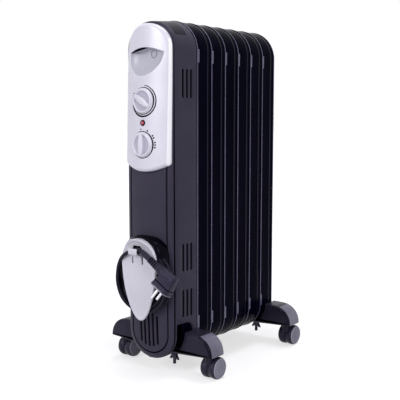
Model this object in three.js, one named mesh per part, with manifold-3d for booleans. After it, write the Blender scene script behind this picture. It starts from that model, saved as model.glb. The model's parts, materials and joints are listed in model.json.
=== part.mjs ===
// Oil filled radiator heater on twin-wheel casters. Millimetres, +Z up.
// The origin is on the floor, under the middle of the heater without its lead.
// While it is modelled, Y = 0 is the rear rim of the first section. The finished group is shifted.
import * as THREE from 'three';
import { mergeVertices } from 'three/addons/utils/BufferGeometryUtils.js';
import Module from 'manifold-3d';

const wasm = await Module();
wasm.setup();

// ---- Driving dimensions ----

// Fits
const clearance = 0.3;
const runningGap = 0.35;
const weld = 1e-4;

// Facets of each round end
const arcSteps = 8;

// Radiator pack
const sectionCount = 7;
const sectionPitch = 41;
const section = { halfWidth: 60.85, top: 636.2, bottom: 30, topRise: 57, bottomRise: 56 };
const flangeWall = 1.5;
const bandInset = 2.2;
const creaseInset = 1.5;
const bandStart = 0.06;
const creaseAt = 0.69;
const rimLength = 3;
const webThickness = 2.4;
const collarRadius = 26;
const collarHeight = 56;
const collarBore = 16;
const channelPitch = 34;
const channelHalfWidth = 10;
const channelDepth = 6;
const hiddenInset = 4.6;

// Housing: shell, front cover, control panel
const shellFront = -56.5;
const shellRear = -3.5;
const shellInset = 0.85;
const shellTaper = 5;
const shellSag = 1.55;
const shellFrontRise = 48;
const shellRearOutline = { halfWidth: section.halfWidth - shellInset, top: section.top - shellInset,
  bottom: section.bottom + shellInset, topRise: section.topRise, bottomRise: section.bottomRise };
const shellFrontOutline = { halfWidth: shellRearOutline.halfWidth - shellTaper,
  top: shellRearOutline.top - shellTaper, bottom: shellRearOutline.bottom - shellSag,
  topRise: shellFrontRise, bottomRise: shellFrontRise };
const shellWall = 1.5;
const coverWall = 2.2;
const coverRimInset = 10;
const coverGroove = 1.6;
const coverEdgeDepth = 8;
const coverLean = 2;
const coverTopLean = 1.2;
const coverCrown = 5.5;
const coverShoulder = 2.6;
const coverFaceStep = 17;
const bossRadius = 4;
const bossInset = 6;
const bossDrop = 12;
const panelHalfWidth = 53;
const panelDrop = 4.35;
const panelLength = 256;
const panelTop = shellFrontOutline.top - panelDrop;
const panelBottom = panelTop - panelLength;
const panelTopRise = 46;
const panelCornerRise = 14;
const panelBevel = 4;
const panelWall = 2.2;
const panelProud = 5;
const panelCrown = 6;
const panelEdge = 3.6;
const panelStep = 18;

// Vents
const ventWidth = 3.5;
const ventLength = 50;
const ventPitch = 10;
const upperVentDrop = 113.6;
const lowerVentHeight = 134.2;
const lowerVentPitch = 83.4;
const ventMiddle = -28;
const frontVentWidth = 3;
const frontVentPitch = 9.7;
const frontVentLength = 66;
const frontVentRise = 22.7;
const frontVentLift = 1.5;

// Controls
const thermostatDrop = 133.2;
const controlPitch = 75.8;
const thermostatHeight = panelTop - thermostatDrop;
const selectorHeight = thermostatHeight - controlPitch;
const lampHeight = (thermostatHeight + selectorHeight) / 2;
const knobRadius = 22.6;
const knobDepth = 7;
const knobRimWidth = 3.4;
const knobDish = 2.4;
const knobGrip = 5;
const knobSocket = 3;
const knobTaper = 3;
const knobFlangeDepth = 1.6;
const thermostatGripAngle = 0.72;
const selectorGripAngle = 0;
const spindleRadius = 3;
const controlFace = -77;
const controlPadDepth = 6;
const controlHoleRadius = spindleRadius + 3;
const lampRadius = 5;
const lensRadius = 3.9;
const lensProud = 3;
const lensDepth = 4;
const lampRecess = 1.2;
const lampReach = 12;

// Controls inside the housing
const bracketThickness = 1.5;
const bracketFace = -60;
const bracketHalfWidth = 33;
const bracketAbove = 37.2;
const bracketBelow = 72;
const bracketTop = thermostatHeight + bracketAbove;
const bracketBottom = selectorHeight - bracketBelow;
const controlBodySize = 34;
const controlBodyDepth = 20;
const switchBodySize = 30;
const tagWidth = 2.4;
const tagReach = 3;
const tagHeight = 8;
const tagLength = 12;
const terminalWidth = 48;
const terminalHeight = 16;
const terminalDepth = 14;
const terminalPitch = 16;
const terminalWellRadius = 4;
const terminalWellDepth = 6;
const cutoutDrop = 30;
const cutoutRadius = 8;
const cutoutDepth = 7;
const cutoutTagLength = 24;
const cutoutTagWidth = 6;
const cutoutTagThickness = 1.5;

// Hand grip recess
const gripHalfWidth = 40;
const gripDrop = 43;
const gripHeight = 46;
const gripTop = panelTop - gripDrop;
const gripBottom = gripTop - gripHeight;
const gripFloor = -62;
const gripUndercut = 5;
const gripLipDepth = 6;

// Foot bars
const footHalfLength = 121;
const footDomeWidth = 23;
const footHalfDepth = 20.5;
const footEdgeHeight = 44.6;
const footBeamHeight = 38.6;
const footBeamHalf = 30;
const footTop = 82.6;
const footShoulder = footHalfLength - footDomeWidth;
const footBeamTop = 50;
const footWall = 2.8;
const frontFootMiddle = -22.5;
const rearFootMiddle = 236;
const saddleGap = 1.4;
const boltOffset = 10;
const boltRadius = 3;
const boltEnd = 17;
const wingNutHeight = 9;
const wingSpan = 11;

// Foot cut-outs in the shell
const archFront = -54;
const archRear = -15;
const archTop = 98.6;
const archCorner = 15;
const archInner = 33;

// Casters
const wheelRadius = 20;
const wheelWidth = 13;
const wheelTrack = 19.3;
const wheelShoulder = 2.6;
const wheelFace = 2.8;
const wheelHubWall = 3.2;
const casterInset = 18.65;
const casterX = footHalfLength - casterInset;
const casterTrail = 13;
const axleRadius = 2.5;
const stemRadius = 5;
const stemTop = 72;
const neckRadius = 7.5;
const bossWall = 4;
const casterWebInset = 5;

// Cord wrap
const wrapHeight = 213;
const plateRadius = 40.5;
const plateLength = 108;
const plateTip = wrapHeight - plateLength;
const plateShoulder = 43;
const plateTipHalf = 22;
const plateFace = -94;
const plateThickness = 2.4;
const plateRim = 5.5;
const plateLip = 6;
const drumInset = 11;
const drumLength = 86;
const drumTip = wrapHeight - drumLength;
const tongueLeft = -12.6;
const tongueRight = 7.5;
const tongueSlit = 2;
const tongueBelow = 4;
const tongueAbove = 23.5;
const tongueRoot = wrapHeight - tongueBelow;
const tongueTop = wrapHeight + tongueAbove;
const tongueBulge = 12.6;
const tongueWall = 1.8;
const tongueBend = 4.5;
const windowAbove = 28;
const windowTop = wrapHeight + windowAbove;
const windowSide = 6;
const plateBowDepth = 3;
const plateBowDrop = 53;
const plateBowTop = wrapHeight - plateBowDrop;
const plateStep = 12;
const drumScrewRadius = 2;
const drumScrewRise = 12;
const drumScrewPitch = 85;
const drumWall = 2;

// Lead and plug
const cordDiameter = 7;
const coilMiddleX = -4;
const coilDrop = 26;
const coilHeight = wrapHeight - coilDrop;
const coilHalfWidth = 60.3;
const coilHalfHeight = 74.3;
const coilBand = 14.6;
const coilSides = 20;
const coilBevel = 2;
const coilFront = -87.3;
const coilRear = -72.7;
const cordSides = 8;
const tailSteps = 18;
const glandDrop = 80.5;
const glandRise = 28.5;
const glandStart = new THREE.Vector3(-17.5, -68, wrapHeight - glandDrop);
const glandEnd = new THREE.Vector3(-39.9, -80.7, wrapHeight - glandDrop + glandRise);
const glandRadius = 4.8;
const plugAxis = new THREE.Vector3(0.858, 0, -0.512).normalize();
const pinAxis = new THREE.Vector3(-0.474, -0.385, -0.793).normalize();
const reliefStart = new THREE.Vector3(17.6, -103, 233);
const reliefLength = 46;
const plugLength = 96;
const plugFaceAt = 74.2;
const plugFaceDrop = 25.9;
const plugRadius = 19;
const pinSpacing = 19;
const pinLength = 19;
const pinRadius = 2.4;

// ---- Derived places ----
const packFront = -sectionPitch;
const sectionBack = sectionPitch * (sectionCount - 1);
const bottomCollar = section.bottom + collarHeight;
const topCollar = section.top - collarHeight;
const frontFootWeb = -sectionPitch / 2;
const rearFootWeb = sectionBack - sectionPitch / 2;
const ahead = -120;
const beyond = 5;
const ventRowMiddles = [section.top - upperVentDrop, lowerVentHeight + lowerVentPitch, lowerVentHeight];
const frontVentBottom = shellFrontOutline.bottom + frontVentRise;
const frontReach = plateFace - tongueBulge;
const rearReach = rearFootMiddle + casterTrail + wheelRadius;
const originY = (frontReach + rearReach) / 2;

// ---- Solids ----

function makeSolid(geometry) {
  const bare = geometry.clone();
  bare.deleteAttribute('normal');
  bare.deleteAttribute('uv');
  const merged = mergeVertices(bare, weld);
  const index = merged.index.array;
  const kept = [];
  for (let i = 0; i < index.length; i += 3) {
    const [a, b, c] = [index[i], index[i + 1], index[i + 2]];
    if (a !== b && b !== c && c !== a) kept.push(a, b, c);
  }
  return new wasm.Manifold(new wasm.Mesh({
    numProp: 3,
    vertProperties: new Float32Array(merged.attributes.position.array),
    triVerts: new Uint32Array(kept),
  }));
}

const join = (first, ...others) => others.reduce((sum, other) => sum.add(other), first);
const cut = (first, ...others) => others.reduce((rest, other) => rest.subtract(other), first);
const common = (first, second) => first.intersect(second);

// A wall through rings of as many points each; an open skin gets a cap at both ends.
function skin(rings, closed = false) {
  const count = rings[0].length;
  const index = [];
  const bands = closed ? rings.length : rings.length - 1;
  for (let r = 0; r < bands; r += 1) {
    const a = r * count;
    const b = ((r + 1) % rings.length) * count;
    for (let i = 0; i < count; i += 1) {
      const j = (i + 1) % count;
      index.push(a + i, a + j, b + j, a + i, b + j, b + i);
    }
  }
  if (!closed) {
    index.push(...capFaces(rings[0], 0, true));
    index.push(...capFaces(rings.at(-1), count * (rings.length - 1), false));
  }
  const positions = rings.flat().flatMap((p) => [p.x, p.y, p.z]);
  if (signedVolume(positions, index) < 0) {
    for (let i = 0; i < index.length; i += 3) {
      [index[i], index[i + 1]] = [index[i + 1], index[i]];
    }
  }
  const geometry = new THREE.BufferGeometry();
  geometry.setAttribute('position', new THREE.Float32BufferAttribute(positions, 3));
  geometry.setIndex(index);
  return makeSolid(geometry);
}

function capFaces(ring, offset, reversed) {
  const normal = new THREE.Vector3();
  ring.forEach((p, i) => normal.add(new THREE.Vector3().crossVectors(p, ring[(i + 1) % ring.length])));
  const drop = ['x', 'y', 'z'].reduce((m, k) => (Math.abs(normal[k]) > Math.abs(normal[m]) ? k : m), 'x');
  const [u, v] = ['x', 'y', 'z'].filter((k) => k !== drop);
  const flat = ring.map((p) => new THREE.Vector2(p[u], p[v]));
  const turn = Math.sign(THREE.ShapeUtils.area(flat));
  const faces = THREE.ShapeUtils.triangulateShape(flat.slice(), []);
  return faces.flatMap(([a, b, c]) => {
    const same = Math.sign(THREE.ShapeUtils.area([flat[a], flat[b], flat[c]])) === turn;
    const order = same === reversed ? [c, b, a] : [a, b, c];
    return order.map((i) => i + offset);
  });
}

function signedVolume(positions, index) {
  const at = (i) => new THREE.Vector3().fromArray(positions, 3 * i);
  let volume = 0;
  for (let i = 0; i < index.length; i += 3) {
    volume += at(index[i]).dot(at(index[i + 1]).cross(at(index[i + 2])));
  }
  return volume;
}

const alongX = new THREE.Matrix4().makeBasis(
  new THREE.Vector3(0, 1, 0), new THREE.Vector3(0, 0, 1), new THREE.Vector3(1, 0, 0));
const alongY = new THREE.Matrix4().makeBasis(
  new THREE.Vector3(1, 0, 0), new THREE.Vector3(0, 0, 1), new THREE.Vector3(0, -1, 0));

function extrude(shape, depth, curveSegments = 6) {
  return new THREE.ExtrudeGeometry(shape, { depth, bevelEnabled: false, curveSegments });
}

// A shape of (x, z) from one Y to another, of (y, z) from one X to another, and of (x, y) in Z.
function extrudeY(shape, from, to, curveSegments) {
  const geometry = extrude(shape, to - from, curveSegments);
  return makeSolid(geometry.applyMatrix4(alongY).translate(0, to, 0));
}

function extrudeX(shape, from, to, curveSegments) {
  return makeSolid(extrude(shape, to - from, curveSegments).applyMatrix4(alongX).translate(from, 0, 0));
}

function extrudeZ(shape, from, to, curveSegments) {
  return makeSolid(extrude(shape, to - from, curveSegments).translate(0, 0, from));
}

function box(x0, x1, y0, y1, z0, z1) {
  const geometry = new THREE.BoxGeometry(x1 - x0, y1 - y0, z1 - z0);
  return makeSolid(geometry.translate((x0 + x1) / 2, (y0 + y1) / 2, (z0 + z1) / 2));
}

// A rod between two points, or a cone if the radii differ.
function rod(from, to, radius, endRadius = radius, sides = 16) {
  const axis = to.clone().sub(from);
  const geometry = new THREE.CylinderGeometry(endRadius, radius, axis.length(), sides);
  geometry.translate(0, axis.length() / 2, 0);
  geometry.applyQuaternion(new THREE.Quaternion().setFromUnitVectors(
    new THREE.Vector3(0, 1, 0), axis.normalize()));
  return makeSolid(geometry.translate(from.x, from.y, from.z));
}

const rodY = (x, z, from, to, radius, sides) =>
  rod(new THREE.Vector3(x, from, z), new THREE.Vector3(x, to, z), radius, radius, sides);
const rodX = (y, z, from, to, radius, sides) =>
  rod(new THREE.Vector3(from, y, z), new THREE.Vector3(to, y, z), radius, radius, sides);
const rodZ = (x, y, from, to, radius, sides) =>
  rod(new THREE.Vector3(x, y, from), new THREE.Vector3(x, y, to), radius, radius, sides);

// A profile of [radius, height] turned round an axis that runs from a point.
function turned(profile, origin, axis, sides) {
  const geometry = new THREE.LatheGeometry(profile.map(([r, h]) => new THREE.Vector2(r, h)), sides);
  geometry.applyQuaternion(new THREE.Quaternion().setFromUnitVectors(new THREE.Vector3(0, 1, 0), axis));
  geometry.translate(origin.x, origin.y, origin.z);
  const made = makeSolid(geometry);
  return made.volume() > 0 ? made : turned(profile.slice().reverse(), origin, axis, sides);
}

function tube(points, radius, sides, steps) {
  const section = new THREE.Shape();
  section.absarc(0, 0, radius, 0, 2 * Math.PI);
  const path = new THREE.CatmullRomCurve3(points);
  return makeSolid(new THREE.ExtrudeGeometry(section, {
    extrudePath: path, steps, curveSegments: sides / 2, bevelEnabled: false }));
}

// ---- Outlines ----

// A tall outline with straight sides and round ends, drawn in by an inset.
function roundEnded(outline, inset = 0, steps = arcSteps) {
  const { halfWidth, top, bottom, topRise, bottomRise } = outline;
  const x = halfWidth - inset;
  const share = x / halfWidth;
  const points = [];
  for (const [side, end, rise] of [[1, top, topRise], [-1, bottom, bottomRise]]) {
    for (let i = 0; i <= steps; i += 1) {
      const angle = (i / steps) * Math.PI;
      const middle = end - side * (inset + rise * share);
      points.push({ x: side * x * Math.cos(angle), z: middle + side * rise * share * Math.sin(angle) });
    }
  }
  return points;
}

const ringAt = (outline, y, inset = 0, steps = arcSteps) =>
  roundEnded(outline, inset, steps).map(({ x, z }) =>
    new THREE.Vector3(x, typeof y === 'function' ? y(x, z) : y, z));

const shapeOf = (points) => new THREE.Shape(points.map(({ x, z }) => new THREE.Vector2(x, z)));

function slotShape(u0, u1, v0, v1) {
  const r = (u1 - u0) / 2;
  const shape = new THREE.Shape();
  shape.absarc((u0 + u1) / 2, v1 - r, r, 0, Math.PI);
  shape.absarc((u0 + u1) / 2, v0 + r, r, Math.PI, 2 * Math.PI);
  return shape;
}

// ---- Foot bar: one moulding under the pack, with a hollow dome over each caster ----

// Half of the front view, mirrored. A positive growth gives the space that the bar needs.
function footElevation(growth = 0) {
  const saddleX = section.halfWidth + saddleGap - growth;
  const saddleZ = section.bottomRise + saddleGap - growth;
  const saddleMiddle = section.bottom + section.bottomRise;
  const saddleLow = -Math.asin((saddleMiddle - footBeamTop - growth) / saddleZ);
  const saddleHigh = -Math.asin((saddleMiddle - footTop) / saddleZ);
  const half = [[footBeamHalf, footBeamHeight - growth], [casterX, footEdgeHeight - growth]];
  for (let i = 0; i <= 5; i += 1) {
    const angle = (i / 5) * (Math.PI / 2);
    half.push([footShoulder + (footHalfLength - footShoulder) * Math.cos(angle),
      footEdgeHeight + (footTop - footEdgeHeight) * Math.sin(angle)]);
  }
  for (let i = 0; i <= 4; i += 1) {
    const angle = saddleHigh + (i / 4) * (saddleLow - saddleHigh);
    half.push([saddleX * Math.cos(angle), saddleMiddle + saddleZ * Math.sin(angle)]);
  }
  const mirrored = half.map(([x, z]) => [-x, z]).reverse();
  return new THREE.Shape([...half, ...mirrored].map(([x, z]) => new THREE.Vector2(x, z)));
}

function footPlan(middle, inset = 0) {
  const plan = new THREE.Shape();
  const reach = footHalfLength - footHalfDepth;
  plan.absarc(reach, middle, footHalfDepth - inset, -Math.PI / 2, Math.PI / 2);
  plan.absarc(-reach, middle, footHalfDepth - inset, Math.PI / 2, 3 * Math.PI / 2);
  return plan;
}

function footDomeHollow(side, middle) {
  const hollow = new THREE.Shape();
  const top = footTop - footWall;
  const outer = footHalfLength - footWall;
  const inner = section.halfWidth + saddleGap + footWall;
  hollow.moveTo(inner + 4, footBeamHeight);
  hollow.lineTo(outer, footBeamHeight);
  hollow.lineTo(outer, footEdgeHeight);
  for (let i = 1; i <= 4; i += 1) {
    const angle = (i / 4) * (Math.PI / 2);
    hollow.lineTo(footShoulder + (outer - footShoulder) * Math.cos(angle),
      footEdgeHeight + (top - footEdgeHeight) * Math.sin(angle));
  }
  hollow.lineTo(inner + 4, top);
  const plan = extrudeZ(footPlan(middle, footWall), 0, footTop, 5);
  const block = extrudeY(hollow, middle - footHalfDepth, middle + footHalfDepth);
  const half = side > 0 ? block : block.mirror([1, 0, 0]);
  const boss = rodZ(side * casterX, middle, footEdgeHeight + 1, footTop, stemRadius + bossWall, 10);
  return cut(common(half, plan), boss);
}

function footBar(middle, boltY) {
  const elevation = extrudeY(footElevation(), middle - footHalfDepth, middle + footHalfDepth);
  let bar = common(elevation, extrudeZ(footPlan(middle), 0, footTop + 1, 6));
  for (const side of [-1, 1]) {
    const socket = rodZ(side * casterX, middle, 0, stemTop + clearance, stemRadius + runningGap, 12);
    bar = cut(bar, footDomeHollow(side, middle), socket,
      rodZ(side * boltX, boltY, 0, footTop, boltRadius + clearance, 12));
  }
  return bar;
}

function footSpace(middle) {
  const reach = footHalfDepth + clearance;
  const under = box(-casterX / 2, casterX / 2, middle - reach, middle + reach, 0, footBeamHeight);
  return join(extrudeY(footElevation(clearance), middle - reach, middle + reach), under);
}

const boltX = collarRadius + boltRadius + clearance;

function uBolt(y) {
  const legs = [-1, 1].map((side) =>
    rodZ(side * boltX, y, boltEnd, bottomCollar, boltRadius, 12));
  const arch = new THREE.Shape();
  arch.absarc(0, bottomCollar, boltX + boltRadius, 0, Math.PI);
  arch.absarc(0, bottomCollar, boltX - boltRadius, Math.PI, 0, true);
  return join(legs[0], legs[1], extrudeY(arch, y - boltRadius * 0.8, y + boltRadius * 0.8, 8));
}

function wingNut(side, y) {
  const top = footBeamHeight - clearance;
  const x = side * boltX;
  const hub = rodZ(x, y, top - wingNutHeight, top, boltRadius + 3.2, 12);
  const wing = new THREE.Shape();
  wing.moveTo(x - wingSpan, top - wingNutHeight - 4);
  wing.lineTo(x - wingSpan + 5, top - wingNutHeight - 4);
  wing.lineTo(x, top - wingNutHeight + 3);
  wing.lineTo(x + wingSpan - 5, top - wingNutHeight - 4);
  wing.lineTo(x + wingSpan, top - wingNutHeight - 4);
  wing.lineTo(x + 5, top - 1);
  wing.lineTo(x - 5, top - 1);
  return cut(join(hub, extrudeY(wing, y - 1.3, y + 1.3)),
    rodZ(x, y, 0, footTop, boltRadius + clearance, 12));
}

// ---- Casters ----

function casterBody(x, y) {
  const axleY = y + casterTrail;
  const web = new THREE.Shape();
  web.absarc(axleY, wheelRadius, wheelRadius - casterWebInset, Math.PI * 1.05, Math.PI * 2.15);
  web.lineTo(y + neckRadius + 4, footEdgeHeight - 2);
  web.lineTo(y - neckRadius, footEdgeHeight - 2);
  const halfWeb = (wheelTrack - wheelWidth) / 2 - clearance;
  const stem = turned([[0, footEdgeHeight - 4], [neckRadius, footEdgeHeight - 4],
    [neckRadius, footEdgeHeight + 0.6], [stemRadius, footEdgeHeight + 0.6],
    [stemRadius, stemTop - 2], [stemRadius - 1.5, stemTop], [0, stemTop]],
  new THREE.Vector3(x, y, 0), new THREE.Vector3(0, 0, 1), 12);
  return cut(join(stem, extrudeX(web, x - halfWeb, x + halfWeb, 7)),
    rodX(axleY, wheelRadius, x - wheelTrack, x + wheelTrack, axleRadius + clearance, 12));
}

// The disc faces away from the caster body; the hub runs on the axle from the inside.
function wheel(x, y, side) {
  const hub = axleRadius + runningGap;
  const disc = wheelWidth - wheelFace;
  const tread = wheelRadius - wheelShoulder;
  const profile = [[0, wheelWidth], [tread, wheelWidth], [wheelRadius, wheelWidth - wheelShoulder],
    [wheelRadius, 0], [tread, 0], [tread, disc], [hub + wheelHubWall, disc], [hub + wheelHubWall, 0],
    [hub, 0], [hub, disc - 1], [0, disc - 1]];
  const inner = x + side * (wheelTrack - wheelWidth) / 2;
  return turned(profile, new THREE.Vector3(inner, y, wheelRadius), new THREE.Vector3(side, 0, 0), 16);
}

function axle(x, y) {
  const half = (wheelTrack + wheelWidth) / 2 - wheelFace - 1 - clearance;
  return rodX(y, wheelRadius, x - half, x + half, axleRadius, 12);
}

// ---- Radiator sections ----

// Profile of the wrap-round flange as [inset, y] pairs round its closed wall.
function flangeProfile(front, rear, hidden) {
  const at = (share) => front + share * (rear - front);
  if (hidden) {
    const web = at(0.5) - webThickness / 2;
    return [[hiddenInset, web], [hiddenInset, rear - rimLength], [0, rear - rimLength], [0, rear],
      [hiddenInset + flangeWall, rear], [hiddenInset + flangeWall, web]];
  }
  return [[bandInset, at(bandStart)], [creaseInset, at(creaseAt)], [bandInset, rear - 2 * rimLength],
    [0, rear - rimLength], [0, rear], [flangeWall, rear], [bandInset + flangeWall, at(bandStart)]];
}

// Three upright channels between a header at the bottom and one at the top.
function oilWays(middle) {
  const outer = channelPitch + channelHalfWidth;
  const low = bottomCollar - channelHalfWidth;
  const high = topCollar + channelHalfWidth;
  const corner = channelHalfWidth;
  const ways = new THREE.Shape([[-outer, low + corner], [-outer + corner, low], [outer - corner, low],
    [outer, low + corner], [outer, high - corner], [outer - corner, high], [-outer + corner, high],
    [-outer, high - corner]].map(([x, z]) => new THREE.Vector2(x, z)));
  const windows = [-1, 1].map((side) => box(side * channelPitch / 2 - channelPitch / 2 + channelHalfWidth,
    side * channelPitch / 2 + channelPitch / 2 - channelHalfWidth, middle - sectionPitch,
    middle + sectionPitch, bottomCollar + channelHalfWidth, topCollar - channelHalfWidth));
  return cut(extrudeY(ways, middle - channelDepth, middle + channelDepth), ...windows);
}

function radiatorSection(number) {
  const hidden = number === 1;
  const last = number === sectionCount;
  const front = packFront + sectionPitch * (number - 1) + clearance / 2;
  const rear = front + sectionPitch - clearance;
  const middle = (front + rear) / 2;
  const flange = skin(flangeProfile(front, rear, hidden).map(([inset, y]) =>
    ringAt(section, y, inset)), true);
  const webInset = hidden ? hiddenInset + flangeWall / 2 : bandInset;
  const web = extrudeY(shapeOf(roundEnded(section, webInset)),
    middle - webThickness / 2, middle + webThickness / 2);
  let body = join(flange, web);
  body = join(body, oilWays(middle));
  for (const height of [bottomCollar, topCollar]) {
    body = join(body, rodY(0, height, front, rear, collarRadius, 12));
  }
  const boreEnd = last ? rear - 2 * flangeWall : rear + 1;
  body = cut(body, rodY(0, bottomCollar, front - 1, boreEnd, collarBore, 10));
  if (hidden) body = cut(body, footSpace(frontFootMiddle), fillerHole());
  if (last) body = cut(body, footSpace(rearFootMiddle));
  return body;
}

const fillerRadius = 7;
const fillerDepth = 10;
const fillerHead = 4;

function fillerHole() {
  return rodY(0, topCollar, packFront - 1, packFront + fillerDepth, fillerRadius, 12);
}

function fillerPlug() {
  const seat = packFront + clearance / 2 - clearance;
  return join(rodY(0, topCollar, seat, packFront + fillerDepth - 1, fillerRadius - clearance, 12),
    rodY(0, topCollar, seat - fillerHead, seat, fillerRadius + 3, 6));
}

function elementFlange() {
  const seat = packFront + clearance / 2 - clearance;
  const disc = rodY(0, bottomCollar, seat - 4, seat, collarRadius - 2, 20);
  const terminals = [-1, 1].map((side) =>
    rodY(side * elementHalfGap, bottomCollar, seat - 10, seat, 3.5, 8));
  return join(disc, ...terminals);
}

const elementHalfGap = 8;
const elementRadius = 4;
const elementReach = sectionPitch * 5.4;

// A hairpin of two bars and a return bend, lying in the bottom collars.
function heatingElement() {
  const start = packFront + clearance / 2;
  const bend = start + elementReach;
  const points = [new THREE.Vector3(-elementHalfGap, start, bottomCollar),
    new THREE.Vector3(-elementHalfGap, bend / 2, bottomCollar)];
  for (let i = 0; i <= 6; i += 1) {
    const angle = Math.PI - (i / 6) * Math.PI;
    points.push(new THREE.Vector3(elementHalfGap * Math.cos(angle),
      bend + elementHalfGap * Math.sin(angle), bottomCollar));
  }
  points.push(new THREE.Vector3(elementHalfGap, bend / 2, bottomCollar),
    new THREE.Vector3(elementHalfGap, start, bottomCollar));
  return tube(points, elementRadius, 6, 20);
}

// ---- Housing ----

function shellTube(rearGrowth = 0) {
  const between = (inset, y) => {
    const share = (y - shellFront) / (shellRear - shellFront);
    const mixed = {};
    for (const key of Object.keys(shellFrontOutline)) {
      mixed[key] = THREE.MathUtils.lerp(shellFrontOutline[key], shellRearOutline[key], share);
    }
    return ringAt(mixed, y, inset);
  };
  return skin([between(0, shellFront), between(0, shellRear + rearGrowth),
    between(shellWall, shellRear + rearGrowth), between(shellWall, shellFront)], true);
}

function housingShell() {
  const vents = [];
  for (const middle of ventRowMiddles) {
    for (const place of [-1, 0, 1]) {
      const y = ventMiddle + place * ventPitch;
      const slot = new THREE.Shape([[-1, -1], [1, -1], [1, 1], [-1, 1]].map(([u, v]) =>
        new THREE.Vector2(y + u * ventWidth / 2, middle + v * ventLength / 2)));
      vents.push(extrudeX(slot, -section.halfWidth - beyond, section.halfWidth + beyond));
    }
  }
  const arch = new THREE.Shape();
  arch.moveTo(archFront, 0);
  arch.lineTo(archRear, 0);
  arch.absarc(archRear - archCorner, archTop - archCorner, archCorner, 0, Math.PI / 2);
  arch.lineTo(archFront, archTop);
  const arches = [extrudeX(arch, archInner, footHalfLength), extrudeX(arch, -footHalfLength, -archInner)];
  return cut(shellTube(), ...vents, ...arches, footSpace(frontFootMiddle));
}

// Depth of the cover's face in front of the seam, at a height and across.
function coverFace(x, z, crown) {
  const middle = (shellFrontOutline.top + shellFrontOutline.bottom) / 2;
  const half = (shellFrontOutline.top - shellFrontOutline.bottom) / 2;
  const along = (z - middle) / half;
  const lean = coverLean * (1 - along * along) - coverTopLean * Math.max(along, 0);
  const across = 1 - (x / (shellFrontOutline.halfWidth - coverRimInset)) ** 2;
  const fade = 1 - Math.abs(along) ** 5;
  return shellFront - coverEdgeDepth - lean - crown * Math.max(across, 0) * fade;
}

function coverBlock(growth, back, grooved) {
  const outline = shellFrontOutline;
  const face = (x, z) => coverFace(x, z, coverCrown) - growth;
  const inner = coverRimInset - growth;
  const fadeIn = (share) => (x, z) => THREE.MathUtils.lerp(shellFront - growth, face(x, z), share);
  const deep = (x, z) => face(x, z) + coverGroove;
  const groove = grooved ? [ringAt(outline, deep, inner), ringAt(outline, deep, inner + coverGroove)] : [];
  const faces = [1, 2].map((step) => ringAt(outline, face, inner + step * coverFaceStep));
  return skin([ringAt(outline, back, -growth), ringAt(outline, shellFront - coverWall - growth, -growth),
    ringAt(outline, fadeIn(0.62), coverShoulder - growth), ringAt(outline, fadeIn(0.97), inner - clearance),
    ...groove, ringAt(outline, face, inner + coverGroove + clearance), ...faces]);
}

function frontCover() {
  const vents = [];
  for (let i = -2; i <= 2; i += 1) {
    const lift = frontVentLift * i * i;
    const x = i * frontVentPitch - frontVentWidth / 2;
    vents.push(extrudeY(slotShape(x, x + frontVentWidth, frontVentBottom + lift,
      frontVentBottom + frontVentLength - lift), plateFace, shellFront + beyond, 2));
  }
  const back = (x, z) => coverFace(x, z, coverCrown) + coverWall;
  const inside = skin([ringAt(shellFrontOutline, shellFront + 1, coverWall),
    ringAt(shellFrontOutline, shellFront - 2 * coverWall, coverWall),
    ringAt(shellFrontOutline, back, coverRimInset + coverGroove + 1),
    ringAt(shellFrontOutline, back, coverRimInset + 2 * coverFaceStep)]);
  let cover = cut(coverBlock(0, shellFront - clearance, true), inside);
  for (const height of [bracketBottom + bossDrop, bracketTop - bossDrop]) {
    for (const side of [-1, 1]) {
      const boss = rodY(side * (bracketHalfWidth - bossInset), height,
        bracketFace - bracketThickness - clearance, coverFace(0, height, 0) + 1, bossRadius, 6);
      cover = join(cover, boss);
    }
  }
  return cut(cover, ...vents, controlHole(thermostatHeight), controlHole(selectorHeight),
    lampHole(lampRadius + 1), gripSpace(panelWall + clearance), glandHole(), drumScrewHoles());
}

const controlHole = (height) => rodY(0, height, ahead, 0, controlHoleRadius, 8);
const lampHole = (radius) => rodY(0, lampHeight, ahead, 0, radius, 12);

// ---- Control panel ----

function panelRing(inset, y) {
  const half = panelHalfWidth - inset;
  const steps = arcSteps;
  const topRise = panelTopRise * half / panelHalfWidth;
  const bottomRise = panelCornerRise * (half / panelHalfWidth) ** 2;
  const points = [];
  for (let i = 0; i <= steps; i += 1) {
    const angle = (i / steps) * Math.PI;
    points.push([half * Math.cos(angle), panelTop - inset - topRise + topRise * Math.sin(angle)]);
  }
  for (let i = 0; i <= steps / 2; i += 1) {
    const x = half * (4 * i / steps - 1);
    points.push([x, panelBottom + inset + bottomRise * (x / half) ** 2]);
  }
  return points.map(([x, z]) => new THREE.Vector3(x, typeof y === 'function' ? y(x, z) : y, z));
}

const panelFace = (x, z) => coverFace(x, z, 0) - panelProud - panelCrown * (1 - (x / panelHalfWidth) ** 2);

function panelBlock(growth) {
  const face = (x, z) => panelFace(x, z) - growth;
  const edge = (x, z) => panelFace(x, z) + panelEdge - growth;
  return skin([panelRing(-growth, shellFront - clearance), panelRing(-growth, edge),
    panelRing(panelBevel - growth, face), panelRing(panelBevel + panelStep, face),
    panelRing(panelBevel + 2 * panelStep, face)]);
}

// Crescent outline of the grip recess, drawn out by a growth.
function gripShape(growth) {
  const half = gripHalfWidth + growth;
  const top = gripTop + growth;
  const bottom = gripBottom - growth;
  const corner = (gripTop - gripBottom) / 6;
  const shape = new THREE.Shape();
  shape.moveTo(-half + corner / 2, top - corner);
  shape.quadraticCurveTo(0, top + corner / 2, half, top - corner);
  shape.bezierCurveTo(half - corner / 2, top - 4 * corner, half * 0.4, bottom, -corner, bottom);
  shape.bezierCurveTo(-half * 0.6, bottom, -half, top - 3 * corner, -half + corner / 2, top - corner);
  return shape;
}

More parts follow.
